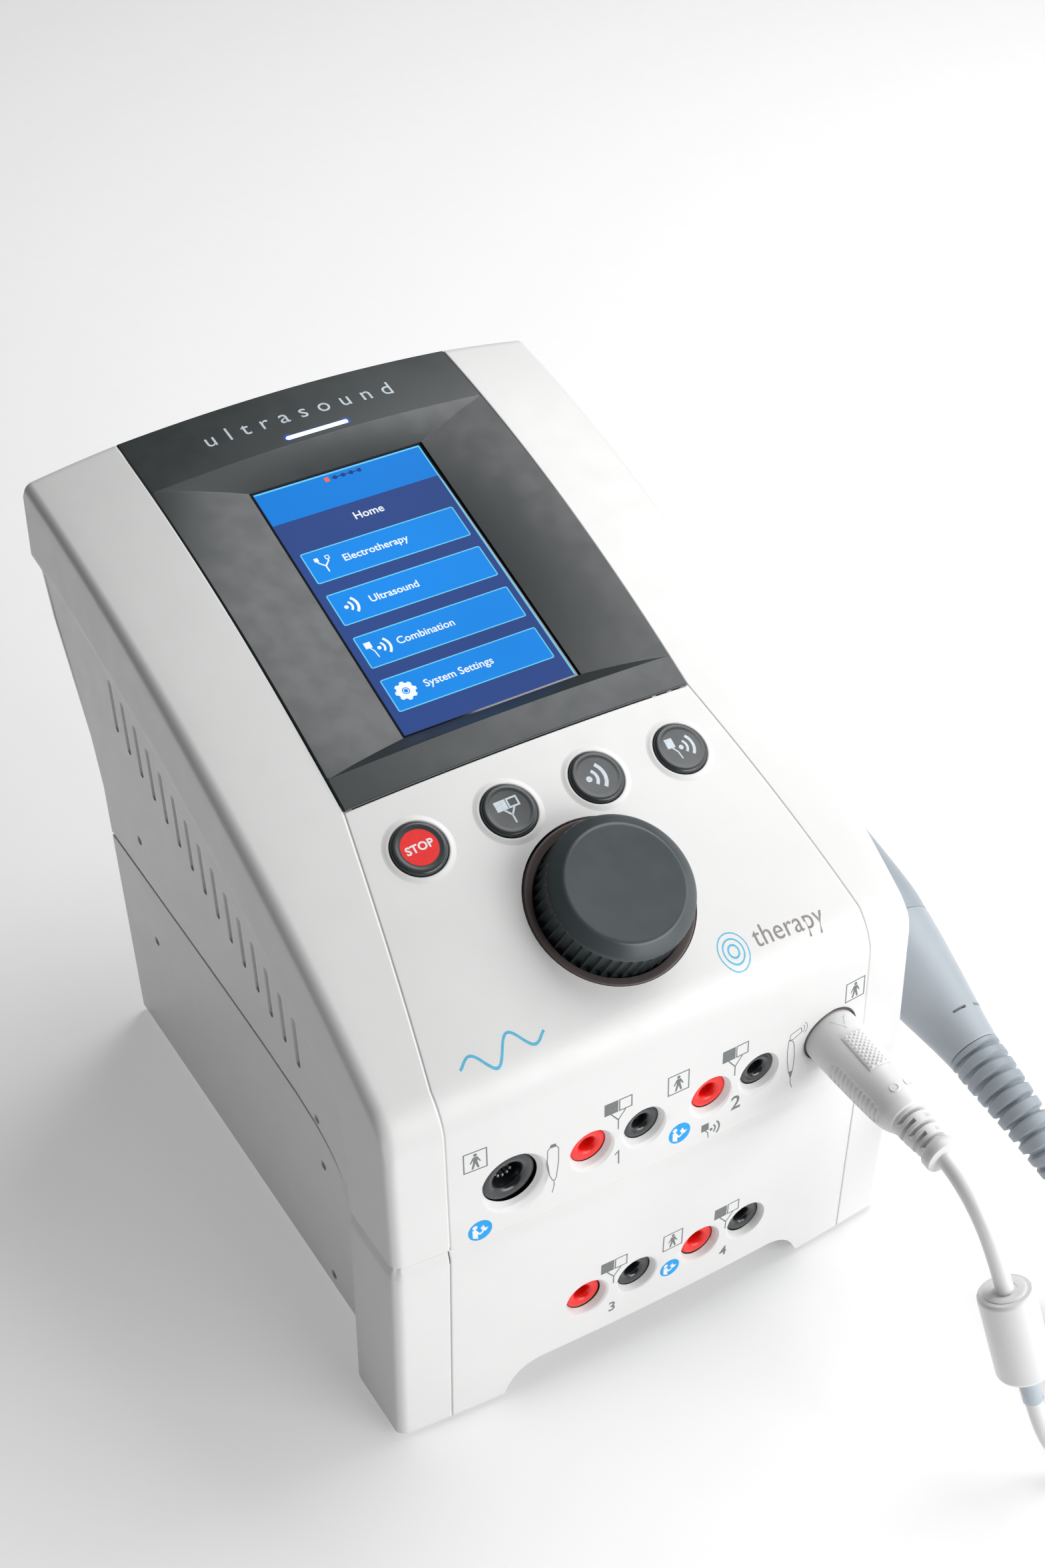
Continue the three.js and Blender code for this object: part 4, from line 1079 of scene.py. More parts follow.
def letters(text, size, x, y, bold=0.0, align="LEFT", spread=1.0):
    """A generic word or number as a flat shape."""
    curve = bpy.data.curves.new("letters", "FONT")
    curve.body = text
    curve.size = size
    curve.align_x = align
    curve.align_y = "CENTER"
    curve.offset = bold * size
    curve.space_character = spread
    curve.resolution_u = 4
    holder = bpy.data.objects.new("letters", curve)
    points, faces = flat_shape(bpy.data.meshes.new_from_object(holder))
    bpy.data.objects.remove(holder)
    bpy.data.curves.remove(curve)
    return [(x + px, y + py) for px, py in points], faces


def arc_points(x, y, radius, angles):
    return [(x + radius * math.cos(a), y + radius * math.sin(a)) for a in np.radians(angles)]


def rectangle(x0, x1, y0, y1, radius=0.0, steps=6):
    """A rectangle's outline, its corners rounded if a radius is given."""
    if radius <= 0:
        return [(x0, y0), (x1, y0), (x1, y1), (x0, y1)]
    corners = ((x1 - radius, y1 - radius), (x0 + radius, y1 - radius),
               (x0 + radius, y0 + radius), (x1 - radius, y0 + radius))
    out = []
    for quarter, (x, y) in enumerate(corners):
        out += arc_points(x, y, radius, np.linspace(90 * quarter, 90 * quarter + 90, steps + 1))
    return out


def frame_shape(x0, x1, y0, y1, width, radius=0.0):
    """A rectangle's border of the given width."""
    inner = rectangle(x0 + width, x1 - width, y0 + width, y1 - width, max(0.0, radius - width))
    return fill([rectangle(x0, x1, y0, y1, radius), inner])


def box_shape(x0, x1, y0, y1, radius=0.0):
    """A filled rectangle."""
    return fill([rectangle(x0, x1, y0, y1, radius)])


def disc(x, y, radius, steps=40):
    return arc_points(x, y, radius, np.linspace(0.0, 360.0, steps, endpoint=False))


def dot(x, y, radius, steps=40):
    """A filled circle."""
    return fill([disc(x, y, radius, steps)])


def ring_shape(x, y, outer, inner):
    return fill([disc(x, y, outer)[:-1], disc(x, y, inner)[:-1]])


def wave(x, y, radius, width, half):
    """A thick arc opening to the left, as in a sound symbol."""
    angles = np.linspace(-half, half, 14)
    outer = arc_points(x, y, radius + width / 2, angles)
    return fill([outer + arc_points(x, y, radius - width / 2, angles)[::-1]])


def stroke(points, width, closed=False):
    """A line of constant width as a flat shape."""
    p = [np.array(q, float) for q in points]
    count = len(p)
    left, right = [], []
    for i, here in enumerate(p):
        before = p[i - 1] if i or closed else here
        after = p[(i + 1) % count] if i < count - 1 or closed else here
        a, b = here - before, after - here
        a = a / np.linalg.norm(a) if np.linalg.norm(a) else b / np.linalg.norm(b)
        b = b / np.linalg.norm(b) if np.linalg.norm(b) else a
        normal = np.array([-(a + b)[1], (a + b)[0]])
        normal /= np.linalg.norm(normal)
        reach = width / 2 / max(0.4, float(normal @ np.array([-a[1], a[0]])))
        left.append(tuple(here + normal * reach))
        right.append(tuple(here - normal * reach))
    if closed:
        return fill([left, right])
    return fill([left + right[::-1]])


def print_on(name, shapes, surface, material, body="console", slot=None, lift=0.03, thick=0.06):
    """Flat shapes printed on a surface; surface(x, y, height) gives the point in millimetres."""
    points, faces = join_shapes(*shapes)
    lower = [surface(x, y, lift - thick) for x, y in points]
    upper = [surface(x, y, lift) for x, y in points]
    count = len(points)
    uses = {}
    for face in faces:
        for a, b in zip(face, face[1:] + face[:1]):
            uses[(a, b)] = uses.get((a, b), 0) + 1
    solid = list(faces) + [tuple(i + count for i in reversed(face)) for face in faces]
    for a, b in uses:
        if (b, a) not in uses:
            solid.append((b, a, a + count, b + count))
    return make_piece(name, upper + lower, solid, material, body, slot)


def front_map(x, z, h):
    return (x, front_face(x, z) - h, z)


def lower_map(x, z, h):
    return (x, -bow(x) - h, z)


def slope_map(x, y, h):
    return tuple(on_top(x, y) @ Vector((0, 0, h)))


def matrix_map(matrix, rise=0.0):
    return lambda x, y, h: tuple(matrix @ Vector((x, y, h + rise)))

# ------------------------------------------------------------------ housings


def build_housings():
    """The five white mouldings with their openings."""

    def moulding(name, shape, *nodes):
        return make_piece(name, *shape, WHITE, slot="housing_white", replaces=nodes)

    housing = moulding("upper_shell", upper_housing(), "upper_housing")
    cut(housing, *[vent_cutter(side, i) for side in (-1, 1) for i in range(15)],
        *[screw_well(side, y, z) for side in (-1, 1) for y, z in SCREWS_UPPER])
    bezel = moulding("front_bezel_shell", front_bezel(), "front_bezel")
    holes = [slope_cutter(x, BUTTON_Y, BUTTON_RADIUS + 0.3) for x in BUTTON_X.values()]
    holes.append(slope_cutter(0, KNOB_Y, 28.5, 20))
    holes += [jack_cutter(x, ROW_UPPER, 6.35, 8.1, 2.0) for x in JACK_X.values()]
    holes.append(jack_cutter(REMOTE_X, ROW_UPPER, 9.4, 11.6, 2.25))
    holes.append(jack_cutter(SOCKET_X, SOCKET_Z, 10.6, 11.1, 0.6))
    cut(bezel, *holes)
    panel = moulding("lower_panel", lower_panel(), "lower_front_bezel")
    holes = [jack_cutter(x, ROW_LOWER, 6.35, 8.1, 2.5) for x in JACK_X.values()]
    cut(panel, finger_cutter(), *holes)
    for name, side in (("left", -1), ("right", 1)):
        moulding("lower_corner_" + name, lower_corner(side))
    body = moulding("lower_shell", lower_housing(), "lower_housing")
    opening = rounded_box(-80, 80, REAR_LOW - 9, REAR_LOW + 9, 6, 76, 1.2)
    cut(body, opening, *[screw_well(side, y, z) for side in (-1, 1) for y, z in SCREWS_LOWER])


def build_ledge(name, rows, depth, thickness):
    """A white step behind a gap, its surface sunk inwards along its normals."""
    work = opened(*sheet(rows))
    inside = Vector((0, 110, 90))
    outward = sum(f.normal.dot(f.calc_center_median() - inside) for f in work.faces)
    for vertex, normal in [(v, v.normal.copy()) for v in work.verts]:
        vertex.co -= normal * math.copysign(depth, outward)
    make_piece(name, *solid_from(*closed(work), thickness), WHITE_TRIM, slot="housing_white")


def build_ledges():
    """White steps behind the gaps between the mouldings."""
    arc = [CORNER_RADIUS * k / 6 for k in range(7)]
    outline = [(-HALF_WIDTH, y) for y in np.linspace(REAR_LOW - 3, CORNER_RADIUS, 60)]
    outline += [(-HALF_WIDTH, y) for y in arc[-2::-1]]
    outline += [(-HALF_WIDTH + d, 0) for d in arc[1:]]
    outline += [(x, 0) for x in np.linspace(-88, 0, 24)]
    outline += [(-x, y) for x, y in outline[-2::-1]]
    rows = []
    for x, y in outline:
        line = split_height(min(y, REAR_LOW))
        rows.append([wall_point(x, y, line + d) for d in (-5, -2, 0, 2, 5)])
    build_ledge("split_ledge", rows, 1.9, 0.9)
    across = (-3, 0, 3)
    heights = list(np.linspace(86, 128, 12)) + [(128 + top_point(SEAM_FRONT, 0)[2]) / 2]
    for name, side in (("left", -1), ("right", 1)):
        rows = [[wall_point(side * (SEAM_FRONT + d), 0, z) for d in across] for z in heights]
        for y in BROW_ROWS + list(np.linspace(9, FASCIA_FRONT_Y + 2, 30)):
            rows.append([top_point(side * (seam_half(y) + d), y) for d in across])
        build_ledge("seam_ledge_" + name, rows, 0.3, 1.0)
        rows = []
        for z in np.linspace(3, 78, 26):
            rows.append([lower_point(side * (SEAM_FRONT + d), 0, z) for d in across])
        build_ledge("lower_seam_ledge_" + name, rows, 0.6, 1.0)


build_housings()
build_ledges()

# ------------------------------------------------------------------ screen and fascia


def over_slope(x, v, height=0.0, share=1.0):
    """A point above the slope, or part of the way up to it, from the screen's (x, v)."""
    return tuple(on_screen() @ Vector((x, v, slope_over_screen(x, v) * share + height)))


def screen_v(y):
    rise = slope_height(0, y) - SCREEN_Z
    return (y - SCREEN_Y) * math.cos(SCREEN_SLOPE) + rise * math.sin(SCREEN_SLOPE)


def build_fascia():
    """The dark surround: level with the slope outside, sinking in four facets to the screen."""
    place = on_screen()

    def across(width, count=22):
        near = [width * (1 - d) for d in (0, 0.008, 0.02, 0.035)]
        return [-w for w in near] + list(np.linspace(-near[-1], near[-1], count))[1:-1] + near[::-1]

    def ring_points(t):
        x = mix(WINDOW_X, FASCIA_HALF, t)
        top, bottom = mix(WINDOW_V, DISH_TOP, t), mix(-WINDOW_V, DISH_BOTTOM, t)
        middle = (top + bottom) / 2
        beside = across((top - bottom) / 2, 26)
        low_edge = [(a, bottom) for a in across(x)][:-1]
        right = [(x, middle + b) for b in beside][:-1]
        high_edge = [(a, top) for a in reversed(across(x))][:-1]
        left = [(-x, middle + b) for b in reversed(beside)][:-1]
        return low_edge + right + high_edge + left

    steps = [0, 0.012, 0.03, 0.06] + list(np.linspace(0.1, 0.94, 18)) + [0.965, 0.985, 1.0]
    shapes = [sheet([[over_slope(x, v, 0.0, t) for x, v in ring_points(t)] for t in steps], wrap=True)]
    front_v, rear_v = screen_v(FASCIA_FRONT_Y) + 0.5, 94.4
    for start, end, count in ((front_v, DISH_BOTTOM, 9), (DISH_TOP, rear_v, 16)):
        rows = near_edge(start, end, count)
        shapes.append(sheet([[over_slope(x, v) for x in across(FASCIA_HALF)] for v in rows]))
    wall = [[place @ Vector((x, v, h)) for x, v in ring_points(0)] for h in (0.0, -1.0, -2.2)]
    shapes.append(sheet(wall, wrap=True))
    surface = soften(*join_shapes(*shapes), SOFT)
    fascia = make_piece("fascia", *solid_from(*surface, 2.0), SLATE, slot="fascia_slate",
                        replaces=("screen_fascia",), sharp=60.0)
    glow = frame_shape(-12.8, 12.8, 68.75, 72.25, 0.62, 1.7)
    print_on("light_glow", [glow], over_slope, LED_GLOW, slot="status_light")
    rise = slope_over_screen(0, 70.5)
    slot = rounded_box(-12.25, 12.25, 69.3, 71.7, -12, 12, 1.15, 4)
    cut(fascia, moved(slot, place @ Matrix.Translation((0, 0, rise))))
    word = [letters("ultrasound", 9.2, -1.5, 80.6, 0.0, "CENTER", 1.8)]
    print_on("fascia_word", word, over_slope, PRINT_PALE, slot="fascia_slate", lift=0.08, thick=0.14)
    led = rounded_box(-12.0, 12.0, 69.55, 71.45, rise - 2.4, rise + 0.2, 0.9, 5)
    make_piece("light_bar", *moved(led, place), LED_LIGHT, slot="status_light",
               replaces=("status_light_bar",))


def build_screen():
    """The display's glass and its page of four keys."""
    place = on_screen()
    half_x, half_v = WINDOW_X + 0.4, WINDOW_V + 0.4
    glass = rounded_box(-half_x, half_x, -half_v, half_v, -2.1, -0.7, 0.2, 2)
    make_piece("display_glass", *moved(glass, place), GLASS_BLACK, slot="screen_glass",
               replaces=("screen_glass",))
    level = matrix_map(place, -0.7)

    def show(name, shapes, material, lift):
        print_on(name, shapes, level, material, slot="screen_glass", lift=lift, thick=0.02)

    show("screen_body", [box_shape(-32.1, 31.9, -54.2, 54.8)], UI_BODY, 0.03)
    show("screen_header", [box_shape(-31.9, 31.7, 39.8, 54.0)], UI_HEADER, 0.06)
    edge = [box_shape(-31.9, 31.9, 54.0, 54.6), box_shape(31.5, 32.0, -54.0, 54.4)]
    show("screen_edge", edge, UI_EDGE, 0.08)
    show("screen_dot_first", [box_shape(-6.1, -4.5, 51.0, 53.0, 0.3)], UI_ORANGE, 0.1)
    dots = [box_shape(x - 0.75, x + 0.75, 51.2, 52.8, 0.4) for x in (-2.2, 0.9, 4.0, 7.1)]
    show("screen_dots", dots + [box_shape(-3.6, 7.6, 51.8, 52.2)], UI_DOT, 0.1)
    labels = [letters("Home", 4.5, -4.5, 33.7, 0.012)]
    keys, outlines = [], []
    rows = {"Electrotherapy": 18.5, "Ultrasound": -0.5, "Combination": -19.6, "System Settings": -38.5}
    for word, v in rows.items():
        keys.append(box_shape(-29.1, 28.9, v - 6.7, v + 6.7, 0.6))
        outlines.append(frame_shape(-29.3, 29.2, v - 6.9, v + 6.9, 0.42, 0.8))
        labels.append(letters(word, 4.1, -16.4, v + 0.1, 0.012))
    show("screen_keys", keys, UI_BUTTON, 0.07)
    show("screen_outlines", outlines, UI_EDGE, 0.1)
    v = rows["Electrotherapy"]
    icons = [
        box_shape(-25.9, -24.4, v + 1.9, v + 3.5), frame_shape(-21.9, -20.3, v + 1.9, v + 3.5, 0.3),
        stroke([(-25.2, v + 2.4), (-24.9, v + 1.2), (-23.1, v - 0.6), (-23.1, v - 3.2)], 0.5),
        stroke([(-21.1, v + 1.9), (-21.3, v + 1.2), (-23.1, v - 0.6)], 0.5),
    ]
    v = rows["Ultrasound"]
    icons += [
        dot(-25.0, v + 0.1, 0.75), wave(-25.2, v + 0.1, 2.3, 0.8, 50),
        wave(-25.2, v + 0.1, 4.3, 0.95, 45),
    ]
    v = rows["Combination"]
    icons += [
        box_shape(-27.2, -24.8, v + 1.0, v + 3.5),
        stroke([(-25.8, v + 1), (-24.9, v - 0.6), (-24.6, v - 3.4)], 0.4),
        dot(-22.9, v, 0.7), wave(-23.2, v, 2.2, 0.75, 50), wave(-23.2, v, 4.2, 0.9, 45),
    ]
    v = rows["System Settings"]
    gear = []
    for k in range(80):
        a = 2 * math.pi * k / 80
        r = 3.15 + 0.65 * smooth((math.cos(8 * a) + 0.55) * 1.4)
        gear.append((-23.2 + r * math.cos(a), v + r * math.sin(a)))
    icons += [fill([gear, disc(-23.2, v, 1.35)]), ring_shape(-23.2, v, 1.0, 0.75)]
    show("screen_labels", labels, UI_WHITE, 0.12)
    show("screen_icons", icons, UI_WHITE, 0.12)


build_fascia()
build_screen()

# ------------------------------------------------------------------ keys and knob


def build_keys():
    """Four round keys in raised rims, with their printed signs."""
    rim = [
        (9.45, -2.4), (9.45, 0.1), (9.6, 0.32), (9.9, 0.4), (10.3, 0.34), (10.8, 0.14), (11.3, 0.0),
        (11.8, -0.1), (11.8, -2.4), (9.45, -2.4),
    ]
    cap = [
        (0, -6), (9.05, -6), (9.15, -5.6), (9.15, 0.2), (9.08, 0.7), (8.85, 1.15), (8.4, 1.45),
        (7.85, 1.55), (7.3, 1.5), (6.8, 1.42), (6.5, 1.4), (0, 1.4),
    ]
    top = {}
    for key, x in BUTTON_X.items():
        place = on_top(x, BUTTON_Y)
        turned("rim_" + key, rim, 72, place, WHITE, slot="housing_white", sharp=50)
        turned("cap_" + key, cap, 72, place, BUTTON_SLATE, key + "_key", "button_slate",
               (key + "_button",), sharp=50)
        top[key] = matrix_map(place, 1.4)

    def sign(name, key, shapes, material, lift):
        print_on(name, shapes, top[key], material, key + "_key", "button_slate", lift)

    sign("stop_disc", "stop", [dot(0, 0, 6.2, 56)], PRINT_RED, 0.06)
    sign("stop_word", "stop", [letters("STOP", 3.9, 0, 0, 0.03, "CENTER", 1.04)], PRINT_WHITE, 0.09)
    icon = [
        box_shape(-4.1, -0.1, 0.3, 3.9), frame_shape(0.15, 4.1, 0.3, 3.9, 0.6),
        stroke([(-1.8, 0.4), (0, -2.0), (0, -4.9)], 0.6), stroke([(1.9, 0.4), (0, -2.0)], 0.6),
    ]
    sign("electro_icon", "electro", icon, PRINT_PALE, 0.05)
    icon = [dot(-3.2, -0.2, 1.05), wave(-3.6, -0.2, 3.3, 1.15, 48), wave(-3.6, -0.2, 6.1, 1.3, 43)]
    sign("ultrasound_icon", "ultrasound", icon, PRINT_PALE, 0.05)
    icon = [
        box_shape(-4.8, -1.9, 0.6, 4.1), stroke([(-3.2, 0.7), (-1.9, -1.2), (-1.5, -3.9)], 0.5),
        dot(-0.1, 0, 0.85), wave(-0.5, 0, 2.6, 0.9, 50), wave(-0.5, 0, 4.9, 1.05, 44),
    ]
    sign("combination_icon", "combination", icon, PRINT_PALE, 0.05)


def build_knob():
    """The fluted dial, the ring round it and the floor under it."""
    place = on_slope(0, KNOB_Y)
    ring = fillet([
        (24.95, -8, 0), (24.95, -0.75, 0.3), (27.2, 0.3, 0.5), (27.75, 0.42, 0.3), (28.1, -0.3, 0.3),
        (28.1, -8, 0),
    ])
    turned("ring", ring + ring[:1], 96, place, RING_TAUPE, slot="ring_taupe", replaces=("knob_ring",),
           sharp=50)
    floor = [(3.6, -6.4), (25.2, -6.4), (25.2, -5.4), (3.6, -5.4), (3.6, -6.4)]
    turned("ring_floor", floor, 72, place, DARK, slot="ring_taupe")
    flutes = 46

    def reach(radius, height, angles):
        radii = np.full(len(angles), radius)
        if radius > 22.9 and height > -2.4:
            share = smooth((height + 2.2) / 0.8) * (1 - smooth((height - 11.2) / 0.5))
            t = (angles * flutes / (2 * math.pi)) % 1.0
            radii = radii - 1.2 * share * (1 - np.abs(2 * t - 1) ** 4)
        return radii

    body = [
        (0, -2.8), (23.4, -2.8), (24.3, -2.4), (24.65, -1.6), (24.7, -0.9), (24.7, 0.6), (24.65, 3),
        (24.6, 5.5), (24.5, 8.2), (24.45, 10.2), (24.4, 10.9), (24.38, 11.2), (24.35, 11.5),
        (24.25, 11.8), (24.0, 12.15), (23.6, 12.6), (23.2, 12.95), (22.2, 13.75), (21.2, 14.5),
        (20.4, 15.1), (20.0, 15.38), (19.6, 15.53), (19.2, 15.6), (18.8, 15.58), (0, 15.58),
    ]
    turned("knob_body", body, flutes * 10, place, KNOB_SLATE, "knob", "knob_slate", ("control_knob",),
           reach=reach, sharp=55)


build_keys()
build_knob()

# ------------------------------------------------------------------ jacks


def behind(face, profile):
    """A profile whose heights, given from the face, are moved to it."""
    return [(r, face + h) for r, h in profile]


def build_jacks():
    """The eight electrode jacks, the hand switch jack and the ultrasound socket."""
    barrel = [
        (0, -11), (6.3, -11), (6.4, -10.6), (6.4, -0.6), (6.3, -0.38), (5.95, -0.15), (5.4, -0.03),
        (4.7, 0), (3.9, -0.12), (3.3, -0.5), (2.85, -1.05), (2.65, -1.7), (2.6, -2.4), (2.5, -9), (0, -9),
    ]
    pin = [(0, -9.2), (1.15, -9.2), (1.15, -5.2), (0.7, -4.8), (0, -4.8)]
    number = 0
    for row, z, depth in (("upper", ROW_UPPER, 1.9), ("lower", ROW_LOWER, 2.4)):
        for key, x in JACK_X.items():
            colour = key.split("_")[0]
            number += colour == "red"
            f = (-front_face(x, z) if row == "upper" else bow(x)) - depth
            place = facing_front(x, z)
            turned(f"jack_{row}_{key}", behind(f, barrel), 56, place, RED if colour == "red" else BLACK,
                   slot="jack_" + colour, replaces=(f"channel_{number}_{colour}_jack",), sharp=60)
            turned(f"jack_pin_{row}_{key}", behind(f, pin), 24, place, CONTACT, slot="jack_" + colour)
    place = facing_front(REMOTE_X, ROW_UPPER)
    f = -front_face(REMOTE_X, ROW_UPPER) - 2.1
    barrel = [
        (0, -12), (9.3, -12), (9.45, -11.5), (9.45, -0.9), (9.2, -0.45), (8.6, -0.12), (7.7, 0),
        (6.8, -0.1), (5.9, -0.5), (5.3, -1.1), (5.05, -1.9), (4.95, -3.2), (4.9, -9), (0, -9),
    ]
    turned("hand_switch_jack", behind(f, barrel), 72, place, BLACK, slot="jack_black",
           replaces=("remote_jack",), sharp=60)
    pin = [(0, -9.2), (0.55, -9.2), (0.55, -4.2), (0.3, -3.9), (0, -3.9)]
    for k in range(5):
        a = math.radians(200 + 35 * k)
        spot = place @ Matrix.Translation((2.9 * math.cos(a), 2.9 * math.sin(a), 0))
        turned(f"hand_switch_pin_{k}", behind(f, pin), 16, spot, STEEL, slot="jack_black")
    key = rounded_box(-0.8, 0.8, 3.6, 5.2, f - 9.2, f - 1.8, 0.3, 2)
    make_piece("hand_switch_key", *moved(key, place), BLACK, slot="jack_black")
    place = facing_front(SOCKET_X, SOCKET_Z)
    f = -front_face(SOCKET_X, SOCKET_Z)
    ring = [
        (10.05, -9.6), (10.6, -9.6), (10.65, -0.6), (10.55, -0.3), (10.35, -0.2), (10.15, -0.4),
        (10.05, -0.8), (10.05, -9.6),
    ]
    turned("socket_ring", behind(f, ring), 72, place, SOCKET_TAUPE, slot="socket_taupe",
           replaces=("ultrasound_socket",), sharp=60)
    floor = [(0, -10.4), (10.6, -10.4), (10.6, -9.7), (0, -9.7)]
    turned("socket_floor", behind(f, floor), 48, place, DARK, slot="socket_taupe")


build_jacks()

# ------------------------------------------------------------------ lead set

PLUG_PROFILE = [
    (-5.6, 9.7), (3, 9.95), (13, 9.9), (25, 9.5), (33.4, 9.05), (36.5, 8.8), (39.4, 8.2), (41.2, 7.4),
    (42.0, 7.0),
]


def plug_place():
    """The plug's axis, which sags a little from the socket's."""
    down = Matrix.Rotation(PLUG_SAG, 4, "X")
    return Matrix.Translation((SOCKET_X, 0, SOCKET_Z)) @ down @ facing_front(0, 0)


def plug_radius(height):
    return along(height, PLUG_PROFILE)


def arc_away(angles, middle, radius):
    """Distances round a circle from a middle angle."""
    return np.abs((angles - middle + math.pi) % (2 * math.pi) - math.pi) * radius


def facing(axis):
    """A turn whose +Z lies along the axis."""
    return axis.to_track_quat("Z", "Y").to_matrix().to_4x4()


def build_plug():
    """The plug's body with its ribbed grips, latch pad, mark, dimples and strain relief."""
    place = plug_place()
    heights = list(np.linspace(-5.6, 13, 20)) + list(np.linspace(13, 38, 110))[1:]
    heights += [38.8, 39.6, 40.4, 41.2, 41.8, 42]

    def grips(radius, height, angles):
        radii = np.full(len(angles), float(radius))
        if radius < 5:
            return radii
        for middle in (0.0, math.pi):
            away = arc_away(angles, middle, radius)
            beyond = max(0.0, abs(height - 25.2) - 8.6)
            outside = np.maximum(np.hypot(away, beyond) - 3.6, 0)
            inside = 1 - np.clip(outside / 0.7, 0, 1)
            ridges = 0.5 + 0.5 * math.cos(2 * math.pi * (height - 25.2) / 1.95)
            radii -= inside * (0.85 - 0.75 * smooth(ridges * 1.3 - 0.1))
        return radii

    profile = [(0, -5.6)] + [(plug_radius(h), h) for h in heights] + [(6.4, 42.4), (0, 42.4)]
    turned("plug_shell", profile, 144, place, PLUG_WHITE, LEAD, "plug_white", ("plug_body",),
           reach=grips, sharp=40)
    half = 4.1
    pad = []
    for h in (mix(10.6, 26.2, i / 60) for i in range(61)):
        row = []
        r = plug_radius(h) + 0.75
        for u in (mix(-half, half, j / 40) for j in range(41)):
            edge = min(1.0, (half - abs(u)) / 0.55, (7.8 - abs(h - 18.4)) / 0.55)
            knurl = max(abs(math.sin(math.pi * (h + s * u * 0.9) / 1.75)) for s in (1, -1))
            relief = 0.64 * edge * (1 - knurl) - 0.25 * edge
            row.append((u, math.sqrt(max(0.0, r * r - u * u)) - 0.5 * (1 - edge) + relief, h))
        pad.append(row)
    make_piece("latch_pad", *moved(solid_from(*sheet(pad), 2.0), place), PLUG_WHITE, LEAD, "plug_white",
               ("plug_latch",), sharp=60)

    def on_plug(u, h, lift):
        return tuple(place @ Vector((u, math.sqrt(plug_radius(h) ** 2 - u * u) + lift, h)))

    arrow = stroke([(-2.7, 3.4), (2.7, 3.4), (0, 7.6)], 0.7, closed=True)
    print_on("arrow_mark", [arrow], on_plug, PLUG_WHITE, LEAD, "plug_white", 0.22, 0.4)
    dimple = [(0, -0.25), (0.9, -0.25), (1.15, 0.1), (1.5, 0.16), (1.75, -0.05), (1.75, -1), (0, -1)]
    for k, (angle, h) in enumerate(((math.radians(62), 35.0), (math.radians(100), 35.4))):
        out = Vector((math.cos(angle), math.sin(angle), 0))
        spot = place @ Matrix.Translation(out * plug_radius(h) + Vector((0, 0, h))) @ facing(out)
        turned(f"plug_dimple_{k}", dimple, 24, spot, PLUG_WHITE, LEAD, "plug_white", sharp=60)
    relief = [(42.3, 6.4), (50, 6.0), (56.2, 5.2), (56.7, 6.0), (57.2, 6.3), (60.1, 6.3), (60.6, 6.0)]
    slots = (44.4, 47.2, 50.0, 52.8, 55.4)

    def slotted(radius, height, angles):
        radii = np.full(len(angles), float(radius))
        for k, middle in enumerate(slots):
            if abs(height - middle) < 0.75 and radius > 4:
                inside = np.abs(np.sin(angles - (k % 2) * math.pi / 2)) > 0.35
                radii = np.where(inside, np.minimum(radii, 4.0), radii)
        return radii

    heights = [42.3] + [middle + d for middle in slots for d in (-0.78, -0.72, 0.72, 0.78)]
    heights += [56.2, 56.7, 57.2, 58.5, 60.1, 60.6]
    profile = [(0, 42.3)] + [(along(h, relief), h) for h in heights] + [(3.1, 60.8), (0, 60.8)]
    turned("strain_relief", profile, 96, place, PLUG_WHITE, LEAD, "plug_white", ("plug_boot",),
           reach=slotted, sharp=45)


def along_lead(start, end):
    """A matrix at lead point start with +Z towards lead point end, and the distance."""
    a, b = Vector(LEAD_ROUTE[start]), Vector(LEAD_ROUTE[end])
    return Matrix.Translation(a) @ facing(b - a), (b - a).length


def build_lead_fittings():
    """The split bead with its two end rims, and the label below it."""
    place, length = along_lead(6, 9)
    case = fillet([
        (3.4, 0.6, 0), (8.6, 0.6, 0.4), (9.3, 1.6, 0.8), (9.3, length - 1.6, 0.8),
        (8.6, length - 0.6, 0.4), (3.4, length - 0.6, 0),
    ])

    def halves(radius, height, angles):
        radii = np.full(len(angles), float(radius))
        gap = np.abs(np.sin(angles - 0.9)) < 0.03
        return np.where(gap & (radius > 3), radii - 0.35, radii)

    turned("ferrite_case", [(0, 0.6)] + case + [(0, length - 0.6)], 120, place, CABLE_WHITE, LEAD,
           "cable_white", ("ferrite_bead",), reach=halves, sharp=40)
    for k, (h, s) in enumerate(((0.35, -1), (length - 0.35, 1))):
        rim = [
            (4.1, h - s * 0.5), (6.9, h - s * 0.5), (7.0, h), (6.6, h + s * 0.25), (4.6, h + s * 0.25),
            (4.1, h), (4.1, h - s * 0.5),
        ]
        turned(f"ferrite_end_{k}", rim, 64, place, CABLE_WHITE, LEAD, "cable_white", sharp=40)
    place, length = along_lead(9, 10)
    sleeve = [
        (3.15, 0.2), (3.35, 0.1), (3.45, 0.3), (3.45, length - 0.3), (3.35, length - 0.1),
        (3.15, length - 0.2), (3.15, 0.2),
    ]
    turned("label_sleeve", sleeve, 48, place, LABEL_FILM, LEAD, "label_film", ("cable_label",), sharp=60)


